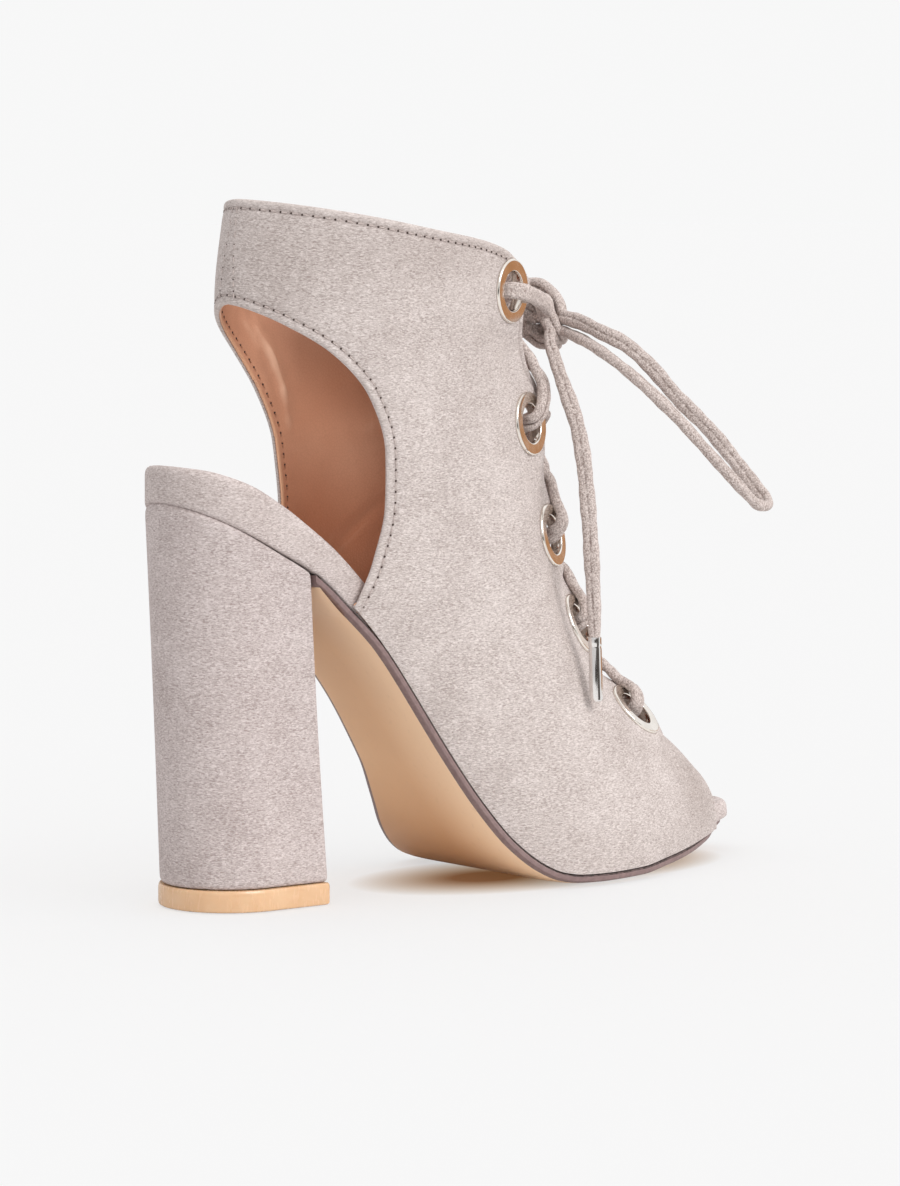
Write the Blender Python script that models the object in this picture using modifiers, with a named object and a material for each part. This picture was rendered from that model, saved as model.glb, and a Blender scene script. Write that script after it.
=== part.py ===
"""Lace-up peep-toe bootie with open heel sides, on a tall block heel. A right shoe.

X runs from the back of the heel to the toe, Y to the inner side of the foot, Z up from the floor.
"""

import bisect
import math
from collections import namedtuple

import bmesh
import bpy
import numpy as np
from mathutils import Matrix, Vector

MM = 0.001
CLEAR = 0.3 * MM  # between pieces that lie on each other
WALL = 1.8 * MM  # suede and lining of the upper together
SOLE_THICK = 2.7 * MM
HEEL_ROUND = 19.6 * MM  # radius of the back of the insole
TOE_TIP = 200.8 * MM
TOE_ROUND = 9.2 * MM  # radius of the toe of the insole
TOE_MIDDLE = 3.4 * MM  # the toe points towards the inner side
BREAST = 35.6 * MM  # front of the heel where it meets the sole
HEEL_MIDDLE = 23.0 * MM  # middle of the heel on the floor
TOP_PIECE = 5.8 * MM
EYELET_OUTER = 8.8 * MM
EYELET_INNER = 5.4 * MM
EYELET_BARREL = 5.8 * MM
EYELET_EDGE = 10.6 * MM  # from the throat to the middle of an eyelet
EYELET_HEIGHTS = [43.4 * MM, 69.0 * MM, 94.2 * MM, 125.3 * MM, 161.5 * MM]
LACE_RADIUS = 2.0 * MM
THROAT_START = 1.55  # where the throat begins, counted in sections
QUARTER_REAR = 9.0  # the section that ends the quarter on the sole
COLLAR = 13.0
HIGH_QUARTER = 7.6  # the section that meets the throat above the end of the quarter
CORNER = 3 / 7  # the share of the open heel that lies ahead of the corner of collar and throat

# Height of the sole, half widths of the insole and its thickness, along the shoe.
Sole = namedtuple("Sole", "x seat lateral medial rim")
SOLE = [
    Sole(0.0, 107.5, 19.6, 19.6, 10.5),
    Sole(7.0, 104.0, 19.6, 19.6, 12.2),
    Sole(16.0, 99.2, 19.6, 19.6, 13.0),
    Sole(26.0, 94.0, 19.7, 19.7, 11.8),
    Sole(36.0, 88.6, 19.8, 19.4, 9.6),
    Sole(48.0, 78.4, 20.0, 18.0, 8.8),
    Sole(60.0, 65.0, 20.0, 15.6, 8.4),
    Sole(70.0, 51.0, 20.6, 13.8, 8.0),
    Sole(80.0, 35.6, 22.6, 14.8, 7.4),
    Sole(88.0, 23.6, 25.2, 19.3, 7.0),
    Sole(96.0, 13.4, 28.4, 25.4, 6.6),
    Sole(104.0, 6.6, 31.2, 30.2, 6.2),
    Sole(112.0, 3.0, 33.2, 33.6, 6.0),
    Sole(124.0, 3.0, 34.0, 35.2, 6.0),
    Sole(138.0, 3.0, 32.4, 34.0, 6.0),
    Sole(150.0, 3.9, 28.6, 30.8, 5.8),
    Sole(165.0, 5.2, 22.2, 25.8, 5.5),
    Sole(180.0, 6.9, 14.0, 19.0, 5.2),
    Sole(195.4, 8.8, 5.0, 11.8, 5.0),
    Sole(200.8, 9.4, 3.0, 9.8, 5.0),
]

# The upper from the toe opening to the collar. Each section stands on the sole (or on the back line of
# the heel) at low, leans to top, and is widest at level. Edge is half the throat gap, flat the angle
# above which the flap beside the throat is flat.
Section = namedtuple(
    "Section", "name low_x low_z top_x top_z lateral medial level front back flat ridge edge"
)
SECTIONS = [
    Section("toe opening", 185.5, 7.5, 181.5, 27.0, 16.4, 16.4, 0.30, 1.0, 1.0, 90, 2.8, 4.0),
    Section("toe box", 177.0, 6.6, 175.0, 33.0, 20.8, 20.6, 0.26, 1.0, 1.0, 90, 2.5, 4.4),
    Section("vamp", 164.5, 5.2, 164.4, 41.0, 26.9, 26.6, 0.20, 1.1, 1.0, 76, 1.9, 5.0),
    Section("ball front", 149.0, 3.8, 147.8, 53.5, 33.0, 32.5, 0.16, 1.25, 1.0, 58, 1.3, 6.2),
    Section("ball", 131.0, 3.0, 135.8, 69.0, 37.2, 36.8, 0.14, 1.35, 1.0, 46, 0.9, 7.4),
    Section("ball rear", 113.5, 3.0, 127.0, 86.0, 37.0, 36.6, 0.16, 1.35, 1.0, 42, 0.6, 8.6),
    Section("waist", 96.0, 13.4, 122.2, 103.5, 33.5, 33.0, 0.22, 1.3, 1.0, 40, 0.4, 9.8),
    Section("shank", 79.0, 37.0, 119.9, 121.0, 29.6, 28.4, 0.30, 1.2, 1.0, 38, 0.2, 11.0),
    Section("arch", 62.5, 61.6, 117.3, 137.0, 27.6, 26.4, 0.35, 1.15, 1.0, 38, 0.0, 12.0),
    Section("quarter rear", 47.5, 78.9, 115.6, 149.5, 26.6, 26.0, 0.40, 1.1, 1.0, 38, 0.0, 12.8),
    Section("heel", 30.0, 103.0, 114.2, 157.0, 27.0, 26.6, 0.42, 1.05, 1.15, 38, 0.0, 13.2),
    Section("tendon", 22.0, 131.0, 113.3, 162.0, 28.0, 27.6, 0.43, 1.0, 1.2, 38, 0.0, 13.5),
    Section("strap edge", 21.5, 158.4, 112.6, 166.0, 28.6, 28.4, 0.43, 1.0, 1.25, 38, 0.0, 13.8),
    Section("collar", 25.0, 185.5, 112.0, 169.4, 29.5, 29.5, 0.43, 1.0, 1.3, 38, 0.0, 14.0),
]

# Side view of the open heel, from the foot of the quarter up to the back of the strap.
Cut = namedtuple("Cut", "x z")
CUT_OUT = [
    Cut(47.5, 78.9),
    Cut(53.3, 91.0),
    Cut(56.3, 105.0),
    Cut(55.5, 120.0),
    Cut(50.0, 134.0),
    Cut(40.0, 145.5),
    Cut(30.0, 152.8),
    Cut(21.5, 158.4),
]

# The free lace on the outer side: how it leaves the knot, out along the loop and back, and the hanging end.
Way = namedtuple("Way", "x y z")
KNOT = Way(129.6, -4.0, 152.5)
KNOT_RADIUS = 5.0 * MM
LOOP_OUT = Way(0.50, -0.60, 0.62)
LOOP_BACK = Way(0.55, -0.72, -0.42)
END_OUT = Way(-0.10, -0.45, -0.89)
LOOP = [
    Way(141.0, -26.0, 146.5),
    Way(149.0, -35.0, 135.0),
    Way(164.5, -42.0, 116.2),
    Way(172.4, -45.0, 104.4),
    Way(169.2, -46.0, 100.7),
    Way(160.0, -46.0, 107.5),
    Way(145.5, -41.5, 124.0),
    Way(137.5, -31.0, 137.5),
]
END = [
    Way(125.5, -18.0, 133.0),
    Way(125.6, -25.0, 114.5),
    Way(124.0, -30.0, 92.2),
    Way(123.0, -32.0, 68.0),
]
AGLET_LENGTH = 16.5 * MM
AGLET_RADIUS = 1.9 * MM

LATERAL, MEDIAL = -1, 1


def curve(xs, ys):
    """A function for the curve through the points (xs, ys), which doesn't overshoot them."""
    rise = [(b - a) / (q - p) for a, b, p, q in zip(ys, ys[1:], xs, xs[1:])]
    slope = [rise[0]]
    for before, after in zip(rise, rise[1:]):
        slope.append(2 * before * after / (before + after) if before * after > 0 else 0.0)
    slope.append(rise[-1])

    def at(x):
        i = min(max(bisect.bisect_right(xs, x) - 1, 0), len(rise) - 1)
        step = xs[i + 1] - xs[i]
        t = (x - xs[i]) / step
        start = ys[i] * (1 + 2 * t) * (1 - t) ** 2 + slope[i] * step * t * (1 - t) ** 2
        return start + ys[i + 1] * t * t * (3 - 2 * t) + slope[i + 1] * step * t * t * (t - 1)

    return at


def columns(rows, places):
    """A curve for each number in a table's columns."""
    names = [f for f in rows[0]._fields if f not in ("x", "name")]
    return {f: curve(places, [getattr(r, f) for r in rows]) for f in names}


SOLE_CURVES = columns(SOLE, [r.x for r in SOLE])
SECTION_CURVES = columns(SECTIONS, list(range(len(SECTIONS))))


def along_sole(column, x):
    """A column of the sole's table at x, in metres."""
    return MM * SOLE_CURVES[column](x / MM)


def section(column, k):
    """A column of the upper's table at section k, as it stands in the table."""
    return SECTION_CURVES[column](k)


def seat(x):
    return along_sole("seat", x)


def seat_normal(x):
    """The direction up from the sole at x, as (x, z)."""
    d = 0.2 * MM
    run, rise = 2 * d, seat(min(x + d, TOE_TIP)) - seat(max(x - d, 0.0))
    size = math.hypot(run, rise)
    return -rise / size, run / size


def rim(side, x):
    """The y of the insole's edge at x, with round ends at heel and toe."""
    if x < HEEL_ROUND:
        return side * math.sqrt(max(HEEL_ROUND**2 - (HEEL_ROUND - x) ** 2, 0.0))
    ahead = x - (TOE_TIP - TOE_ROUND)
    turn = TOE_ROUND * math.sin(math.radians(24))
    if ahead > turn:
        return TOE_MIDDLE + side * math.sqrt(max(TOE_ROUND**2 - ahead**2, 0.0))
    return side * along_sole("lateral" if side == LATERAL else "medial", x)


def stations(first):
    """Places along the shoe, closer together in the round ends and where the sole bends."""
    turn = TOE_TIP - TOE_ROUND + TOE_ROUND * math.sin(math.radians(24))
    places = [HEEL_ROUND * (1 - math.cos(math.radians(a))) for a in (10, 24, 40, 56, 73)]
    places += list(np.linspace(HEEL_ROUND, 78 * MM, 12))
    places += list(np.linspace(78 * MM, 116 * MM, 12))[1:]
    places += list(np.linspace(116 * MM, turn, 13))[1:]
    places += [TOE_TIP - TOE_ROUND * (1 - math.sin(math.radians(a))) for a in (40, 55, 68, 80)]
    if first > places[0]:
        places = [first] + [x for x in places if x > first + MM]
    return places


def section_angles(k):
    """The parts of section k: its foot and top, its two half widths and its level."""
    on_sole = float(np.clip(QUARTER_REAR + 1 - k, 0.0, 1.0))
    low_x = section("low_x", k) * MM
    low_z = seat(low_x) if k <= QUARTER_REAR else section("low_z", k) * MM
    return on_sole, low_x, low_z


def upper_point(side, k, angle):
    """A point of the upper's outside. Angle runs from the foot of the wall, below 0, to 90 on the ridge."""
    on_sole, low_x, low_z = section_angles(k)
    top_x, top_z = section("top_x", k) * MM, section("top_z", k) * MM
    ridge = section("ridge", k) * MM
    wide = section("lateral" if side == LATERAL else "medial", k) * MM
    level = section("level", k)
    power = section("front" if angle > 0 else "back", k)
    if angle > 0:
        flat = section("flat", k)
        a = math.radians(min(angle, flat))
        up, across = math.sin(a), max(math.cos(a), 0.0) ** power
        if angle > flat:
            past = math.radians(angle - flat)
            up += past * math.cos(a)
            across -= past * power * math.sin(a) * math.cos(a) ** (power - 1)
        height = level + (1 - level) * up
    else:
        a = math.radians(angle)
        height = level + level / math.sin(math.radians(foot_angle(side, k))) * math.sin(a)
        across = max(math.cos(a), 0.0) ** power
    return Vector(
        (low_x + (top_x - low_x) * height, ridge + side * wide * across, low_z + (top_z - low_z) * height)
    )


def foot_angle(side, k):
    """How far below its widest line section k reaches, in degrees."""
    on_sole, low_x, low_z = section_angles(k)
    wide = section("lateral" if side == LATERAL else "medial", k) * MM
    low = side * (rim(side, low_x) + side * (CLEAR + WALL) - section("ridge", k) * MM)
    share = np.clip(on_sole * low / wide, 0.0, 0.995) ** (1 / section("back", k))
    return math.degrees(math.acos(share))


def throat_angle(side, k):
    """Where section k ends at the throat, in degrees."""
    along = np.clip((k - THROAT_START) / 0.45, 0.0, 1.0)
    gap = section("edge", k) * MM * math.sqrt(along * (2 - along))
    low, high = 0.0, 110.0
    for _ in range(40):
        middle = (low + high) / 2
        if side * (upper_point(side, k, middle).y - section("ridge", k) * MM) > gap:
            low = middle
        else:
            high = middle
    return low


def outward(side, k, angle):
    """The unit normal of the upper's outside."""
    d = 0.02
    along = upper_point(side, min(k + d, COLLAR), angle) - upper_point(side, max(k - d, 0.0), angle)
    up = upper_point(side, k, angle + 0.5) - upper_point(side, k, angle - 0.5)
    n = along.cross(up).normalized()
    return n if n.y * side > 0 else -n


def on_section(x, z, side):
    """The section and angle at which the upper's side view passes through (x, z)."""
    low, high = QUARTER_REAR, COLLAR
    for _ in range(40):
        k = (low + high) / 2
        _, low_x, low_z = section_angles(k)
        run, rise = section("top_x", k) * MM - low_x, section("top_z", k) * MM - low_z
        if (z - low_z) * run > (x - low_x) * rise:
            low = k
        else:
            high = k
    height = ((x - low_x) * run + (z - low_z) * rise) / (run * run + rise * rise)
    level = section("level", k)
    if height < level:
        sine = (height - level) / level * math.sin(math.radians(foot_angle(side, k)))
    else:
        sine = (height - level) / (1 - level)
    return k, math.degrees(math.asin(np.clip(sine, -1.0, 1.0)))


def upper_ribs(side, per_section):
    """The two ends of each rib of the upper, from its lower edge to the ridge, the throat or the collar."""
    ribs = []
    for k in np.linspace(0.0, THROAT_START, round(THROAT_START * per_section) + 2):
        ribs.append((k, -foot_angle(side, k), k, 90.0))
    for s in np.linspace(0.0, 1.0, round((QUARTER_REAR - THROAT_START) * per_section) + 1)[1:]:
        k = THROAT_START + (QUARTER_REAR - THROAT_START) * s**1.25
        top = THROAT_START + (HIGH_QUARTER - THROAT_START) * s**1.25
        ribs.append((k, -foot_angle(side, k), top, throat_angle(side, top)))
    steps = [n / (len(CUT_OUT) - 1) for n in range(len(CUT_OUT))]
    cut_x = curve(steps, [c.x * MM for c in CUT_OUT])
    cut_z = curve(steps, [c.z * MM for c in CUT_OUT])
    corner = throat_angle(side, COLLAR)
    for s in np.linspace(0.0, 1.0, 7 * per_section + 1)[1:]:
        k, angle = on_section(cut_x(s), cut_z(s), side)
        if s < CORNER:
            top = HIGH_QUARTER + (COLLAR - HIGH_QUARTER) * s / CORNER
            ribs.append((k, angle, top, throat_angle(side, top)))
        else:
            back = (s - CORNER) / (1 - CORNER)
            ribs.append((k, angle if s < 1 else -90.0, COLLAR, corner + (-90.0 - corner) * back))
    return ribs


def new_object(name, mesh, material):
    o = bpy.data.objects.new(name, mesh)
    part_collection.objects.link(o)
    o.parent = shoe
    mesh.materials.append(material)
    return o


def mesh_of(name, points, faces, merge=0.00002):
    """A mesh with its faces turned outward."""
    b = bmesh.new()
    made = [b.verts.new(p) for p in points]
    for f in faces:
        b.faces.new([made[i] for i in f])
    bmesh.ops.remove_doubles(b, verts=b.verts, dist=merge)
    bmesh.ops.recalc_face_normals(b, faces=b.faces)
    mesh = bpy.data.meshes.new(name)
    b.to_mesh(mesh)
    b.free()
    return mesh


def loft(name, rings, material):
    """A closed solid through rings with equal counts of points."""
    n = len(rings[0])
    faces = [tuple(range(n)), tuple((len(rings) - 1) * n + i for i in range(n))]
    for r in range(len(rings) - 1):
        for i in range(n):
            j = (i + 1) % n
            faces.append((r * n + i, r * n + j, (r + 1) * n + j, (r + 1) * n + i))
    return new_object(name, mesh_of(name, [p for ring in rings for p in ring], faces), material)


def material(name, colour, roughness, metallic=0.0):
    m = bpy.data.materials.new(name)
    m.use_nodes = True
    shader = m.node_tree.nodes["Principled BSDF"]
    shader.inputs["Base Color"].default_value = (*colour, 1.0)
    shader.inputs["Roughness"].default_value = roughness
    shader.inputs["Metallic"].default_value = metallic
    return m


def above_seat(x, y, height):
    """A point straight out of the sole's slope, or straight up or down where the heel is."""
    nx, nz = seat_normal(x)
    if height > 0:
        nx *= min(x / BREAST, 1.0) ** 2
        nz = math.sqrt(1 - nx * nx)
    else:
        lean = min(max((x - BREAST) / (8 * MM), 0.0), 1.0)
        nx, nz = nx * lean, (1 - lean * nx * nx) / nz
    return (x + nx * height, y, seat(x) + nz * height)


def tube_mesh(name, path, radius, sides=1):
    """A closed round tube along a path."""
    curve = bpy.data.curves.new(name, "CURVE")
    curve.dimensions = "3D"
    curve.bevel_depth = radius
    curve.bevel_resolution = sides
    curve.use_fill_caps = True
    spline = curve.splines.new("POLY")
    spline.points.add(len(path) - 1)
    for point, p in zip(spline.points, path):
        point.co = (*p, 1.0)
    holder = bpy.data.objects.new(name, curve)
    part_collection.objects.link(holder)
    bpy.context.view_layer.update()
    mesh = bpy.data.meshes.new_from_object(holder.evaluated_get(bpy.context.evaluated_depsgraph_get()))
    bpy.data.objects.remove(holder)
    b = bmesh.new()
    b.from_mesh(mesh)
    bmesh.ops.remove_doubles(b, verts=b.verts, dist=0.00002)
    bmesh.ops.recalc_face_normals(b, faces=b.faces)
    b.to_mesh(mesh)
    b.free()
    mesh.materials.clear()
    return mesh


def through(points, count):
    """A soft path through points, with evenly counted places."""
    far = [0.0]
    for a, b in zip(points, points[1:]):
        far.append(far[-1] + (Vector(b) - Vector(a)).length)
    ways = [curve(far, [p[i] for p in points]) for i in range(3)]
    return [Vector([way(s) for way in ways]) for s in np.linspace(0.0, far[-1], count)]


for old in list(bpy.data.objects):
    bpy.data.objects.remove(old)
part_collection = bpy.data.collections.new("Lace-up peep-toe bootie")
cutter_collection = bpy.data.collections.new("Cutters")
bpy.context.scene.collection.children.link(part_collection)
bpy.context.scene.collection.children.link(cutter_collection)
shoe = bpy.data.objects.new("shoe", None)
shoe.location = (-HEEL_MIDDLE, 0.0, 0.0)
part_collection.objects.link(shoe)

suede = material("suede", (0.39, 0.345, 0.30), 0.95)
insole_suede = material("insole suede", (0.39, 0.345, 0.30), 0.95)
heel_suede = material("heel suede", (0.39, 0.345, 0.30), 0.95)
sole_leather = material("sole leather", (0.52, 0.35, 0.22), 0.6)
top_piece_plastic = material("top piece plastic", (0.78, 0.56, 0.42), 0.25)
eyelet_metal = material("eyelet metal", (0.80, 0.66, 0.42), 0.25, 1.0)
lace_suede = material("lace suede", (0.37, 0.33, 0.29), 0.95)
aglet_metal = material("aglet metal", (0.75, 0.74, 0.72), 0.2, 1.0)

# Outsole: a thin sheet from the front of the heel to the toe, flat on the floor under the ball.
# Its edge stands out from the insole under the upper and draws in below the toe.
sole_edge = curve([0.0, 46.0, 58.0, 155.0, 180.0, 203.0], [0.4, 0.4, 2.6, 2.6, 1.0, -1.0])
rings = []
for x in stations(BREAST + 2 * CLEAR):
    out = sole_edge(x / MM) * MM
    edges = [(rim(LATERAL, x) - out, LATERAL), (rim(MEDIAL, x) + out, MEDIAL)]
    ring = []
    for (y, side), heights in zip(edges, ((1, 0), (0, 1))):
        corner = [(y, -CLEAR), (y - side * 0.7 * MM, -CLEAR - SOLE_THICK)]
        ring += [above_seat(x, *corner[0 if h else 1]) for h in heights]
    rings.append(ring)
loft("outsole", rings, sole_leather)

# Insole: a covered board with a rounded rim, bare at the heel and inside the upper further on.
rings = []
for x in stations(0.0):
    thick = along_sole("rim", x)
    reach = min(2.2 * MM, abs(rim(MEDIAL, x) - rim(LATERAL, x)) / 3)
    ring = []
    for side in (LATERAL, MEDIAL):
        y = rim(side, x)
        edge = [
            (y, 0.0),
            (y, thick - 2.4 * MM),
            (y - side * 0.3 * reach, thick - 0.7 * MM),
            (y - side * reach, thick),
        ]
        ring += [above_seat(x, *e) for e in (edge if side == LATERAL else reversed(edge))]
    rings.append(ring)
loft("insole", rings, insole_suede)

# Heel: a block with a round back and a flat front, following the slope of the sole on top.
FLOOR_BACK, FLOOR_FRONT, FLOOR_HALF = 4.2 * MM, 42.0 * MM, 18.4 * MM
HEEL_LEVELS = 6


def heel_outline(share):
    """Floor x and half width of the heel, at a share of its length."""
    x = FLOOR_BACK + (FLOOR_FRONT - FLOOR_BACK) * share
    back = max(FLOOR_HALF - (x - FLOOR_BACK), 0.0) / FLOOR_HALF
    return x, FLOOR_HALF * math.sqrt(max(1 - back * back, 0.0))


rings = []
heel_shares = [0.5 * (1 - math.cos(math.radians(a))) * 0.94 for a in (10, 26, 44, 62, 80)]
heel_shares += [0.52, 0.64, 0.76, 0.88, 1.0]
for share in heel_shares:
    floor_x, floor_half = heel_outline(share)
    top_x = BREAST * share
    top = Vector(above_seat(top_x, rim(MEDIAL, top_x), -CLEAR))
    low = Vector((floor_x, floor_half, TOP_PIECE + CLEAR))
    one_side = []
    for t in np.linspace(0.0, 1.0, HEEL_LEVELS):
        p = low.lerp(top, t)
        p.y *= 1 - 0.03 * math.sin(math.pi * t)
        one_side.append(p)
    rings.append([(p.x, -p.y, p.z) for p in one_side] + [tuple(p) for p in reversed(one_side)])
loft("heel", rings, heel_suede)

# Heel top piece: a plate with the heel's outline that stands out a little all round.
plate_line = bpy.data.curves.new("heel_top_piece", "CURVE")
plate_line.dimensions = "2D"
plate_line.fill_mode = "BOTH"
plate_line.extrude = TOP_PIECE / 2
spline = plate_line.splines.new("POLY")
outline = [heel_outline(s) for s in heel_shares]
outline = [(x, -y) for x, y in outline] + [(x, y) for x, y in reversed(outline)]
spline.points.add(len(outline) - 1)
for point, (x, y) in zip(spline.points, outline):
    grown_x = HEEL_MIDDLE + (x - HEEL_MIDDLE) * 1.022
    point.co = (grown_x, y * 1.026, TOP_PIECE / 2, 1.0)
spline.use_cyclic_u = True
holder = bpy.data.objects.new("top piece outline", plate_line)
cutter_collection.objects.link(holder)
bpy.context.view_layer.update()
plate = bpy.data.meshes.new_from_object(holder.evaluated_get(bpy.context.evaluated_depsgraph_get()))
bpy.data.objects.remove(holder)
b = bmesh.new()
b.from_mesh(plate)
bmesh.ops.remove_doubles(b, verts=b.verts, dist=0.00002)
bmesh.ops.recalc_face_normals(b, faces=b.faces)
lift = -min(v.co.z for v in b.verts)
bmesh.ops.translate(b, verts=b.verts, vec=(0.0, 0.0, lift))
b.to_mesh(plate)
b.free()
plate.materials.clear()
new_object("heel_top_piece", plate, top_piece_plastic)

# Upper: one wall from toe opening to heel strap, open at collar, throat, toe, heel sides and underneath.
PER_SECTION = 3
ACROSS = 10
points, faces = [], []
for side in (LATERAL, MEDIAL):
    start = len(points)
    ribs = upper_ribs(side, PER_SECTION)
    for low_k, low_a, top_k, top_a in ribs:
        for s in np.linspace(0.0, 1.0, ACROSS + 1):
            points.append(upper_point(side, low_k + (top_k - low_k) * s, low_a + (top_a - low_a) * s))
    for r in range(len(ribs) - 1):
        for i in range(ACROSS):
            a = start + r * (ACROSS + 1) + i
            b = a + ACROSS + 1
            faces.append((a, a + 1, b + 1, b) if side == LATERAL else (a, b, b + 1, a + 1))
upper = new_object("upper", mesh_of("upper", points, faces, 0.00005), suede)
if sum(f.normal.y * f.center.y for f in upper.data.polygons) < 0:
    upper.data.flip_normals()
shell = upper.modifiers.new("wall", "SOLIDIFY")
shell.thickness = WALL
shell.offset = -1.0
shell.use_even_offset = True

# Eyelets: two rows of five rings along the throat, each flat on the flap round its hole.
Eyelet = namedtuple("Eyelet", "side number k angle middle normal lift")


def eyelet_angle(side, k):
    """Where the line of eyelets runs on section k."""
    angle = throat_angle(side, k)
    gone = 0.0
    here = upper_point(side, k, angle)
    while gone < EYELET_EDGE:
        angle -= 0.5
        there = upper_point(side, k, angle)
        gone += (there - here).length
        here = there
    return angle


def eyelet_section(side, z):
    low, high = THROAT_START + 0.3, COLLAR
    for _ in range(30):
        k = (low + high) / 2
        if upper_point(side, k, eyelet_angle(side, k)).z < z:
            low = k
        else:
            high = k
    return k


def eyelets(side):
    rows = []
    for number, z in enumerate(EYELET_HEIGHTS):
        k = eyelet_section(side, z)
        angle = eyelet_angle(side, k)
        middle = upper_point(side, k, angle)
        normal = outward(side, k, angle)
        near = []
        for dk in np.linspace(-1.6, 1.6, 33):
            if not 0.0 < k + dk < COLLAR:
                continue
            last = throat_angle(side, k + dk)
            for da in np.linspace(-40, 40, 41):
                if angle + da > last:
                    continue
                p = upper_point(side, k + dk, angle + da) - middle
                if (p - normal * p.dot(normal)).length < EYELET_OUTER and abs(p.dot(normal)) < 8 * MM:
                    near.append(p.dot(normal))
        rows.append(Eyelet(side, number, k, angle, middle, normal, max(near)))
    return rows


lace_holes = {LATERAL: eyelets(LATERAL), MEDIAL: eyelets(MEDIAL)}
RingPoint = namedtuple("RingPoint", "r h")
EYELET_SHAPE = [
    RingPoint(5.40, -2.6),
    RingPoint(5.40, 0.7),
    RingPoint(5.90, 1.15),
    RingPoint(7.90, 1.10),
    RingPoint(8.80, 0.45),
    RingPoint(8.80, 0.0),
    RingPoint(5.80, 0.0),
    RingPoint(5.80, -2.6),
]
RING_STEPS = 16
ring_mesh = mesh_of(
    "eyelet",
    [
        (p.r * MM * math.cos(t), p.r * MM * math.sin(t), p.h * MM)
        for t in np.linspace(0.0, 2 * math.pi, RING_STEPS + 1)[:-1]
        for p in EYELET_SHAPE
    ],
    [
        (i * 8 + j, i * 8 + (j + 1) % 8, (i + 1) % RING_STEPS * 8 + (j + 1) % 8, (i + 1) % RING_STEPS * 8 + j)
        for i in range(RING_STEPS)
        for j in range(8)
    ],
)
side_name = {LATERAL: "outer", MEDIAL: "inner"}
for side, rows in lace_holes.items():
    for e in rows:
        turn = e.normal.to_track_quat("Z", "Y").to_matrix().to_4x4()
        place = Matrix.Translation(e.middle + e.normal * (e.lift + CLEAR)) @ turn
        ring = new_object(f"eyelet_{side_name[side]}_{e.number + 1}", ring_mesh.copy(), eyelet_metal)
        ring.matrix_local = place
        bpy.ops.mesh.primitive_cylinder_add(
            vertices=16, radius=EYELET_BARREL + CLEAR, depth=16 * MM, location=(0, 0, 0)
        )
        hole = bpy.context.object
        hole.name = f"hole_{side_name[side]}_{e.number + 1}"
        for c in list(hole.users_collection):
            c.objects.unlink(hole)
        cutter_collection.objects.link(hole)
        hole.parent = shoe
        hole.matrix_local = Matrix.Translation(e.middle) @ turn
        hole.hide_render = True
        hole.display_type = "WIRE"
        cut = upper.modifiers.new(hole.name, "BOOLEAN")
        cut.operation = "DIFFERENCE"
        cut.solver = "EXACT"
        cut.object = hole

# Lace: a bar inside the lowest eyelets, four crossings over the throat and two strands to the knot.
FLANGE = 1.15 * MM  # height of an eyelet's rim
BARREL = 2.6 * MM  # depth of its sleeve


def throat_edge(side, k, off):
    """A point off the edge of the throat, outside the flap or inside it."""
    angle = throat_angle(side, k)
    return upper_point(side, k, angle) + outward(side, k, angle - 4.0) * off


def outside(e, toward):
    """Lace in the middle of an eyelet and over its rim, on its way to a point."""
    middle = e.middle + e.normal * (e.lift + CLEAR + FLANGE + CLEAR + LACE_RADIUS)
    way = toward - middle
    way -= e.normal * way.dot(e.normal)
    return [middle, middle + way.normalized() * 7.4 * MM]


def inside(e, toward):
    """Lace below the middle of an eyelet and past its sleeve, on its way to a point."""
    middle = e.middle + e.normal * (e.lift + CLEAR - BARREL - CLEAR - LACE_RADIUS)
    way = toward - middle
    way -= e.normal * way.dot(e.normal)
    return [middle, middle + way.normalized() * 6.2 * MM - e.normal * 2 * CLEAR]


def strand(side, low, high):
    """From outside a lower eyelet, over its flap, to inside the eyelet above on the other side."""
    rise = high.k - low.k
    first = throat_edge(side, low.k + 0.36 * rise, low.lift + FLANGE + 3 * CLEAR + LACE_RADIUS)
    last = throat_edge(-side, low.k + 0.68 * rise, -(WALL + 4 * CLEAR + LACE_RADIUS))
    middle = (first + last) / 2 + Vector((1.2 * MM, 0.0, 0.4 * MM))
    return through([*outside(low, first), first, middle, last, *reversed(inside(high, last))], 14)


def joined(name, paths, material):
    """One solid from tubes that meet."""
    whole = new_object(name, tube_mesh(name, paths[0], LACE_RADIUS), material)
    for n, path in enumerate(paths[1:]):
        tool = bpy.data.objects.new(f"{name}_tool_{n}", tube_mesh(name, path, LACE_RADIUS))
        cutter_collection.objects.link(tool)
        tool.parent = shoe
        tool.hide_render = True
        tool.display_type = "WIRE"
        union = whole.modifiers.new(tool.name, "BOOLEAN")
        union.operation = "UNION"
        union.solver = "EXACT"
        union.object = tool
    return whole


for number in range(len(EYELET_HEIGHTS) - 1):
    paths = []
    for side in (LATERAL, MEDIAL):
        low, high = lace_holes[side][number], lace_holes[-side][number + 1]
        paths.append(strand(side, low, high))
    joined(f"lace_crossing_{number + 1}", paths, lace_suede)

ends = [lace_holes[side][0] for side in (LATERAL, MEDIAL)]
between = (ends[0].middle + ends[1].middle) / 2
path = through([*inside(ends[0], between), *reversed(inside(ends[1], between))], 11)
new_object("lace_bar", tube_mesh("lace_bar", path, LACE_RADIUS), lace_suede)

knot = Vector(KNOT) * MM


def leaving(way):
    """The first two points of lace that leaves the knot."""
    return [knot + way.normalized() * (KNOT_RADIUS + far) for far in (1.5 * CLEAR, 3.5 * MM)]


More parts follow.
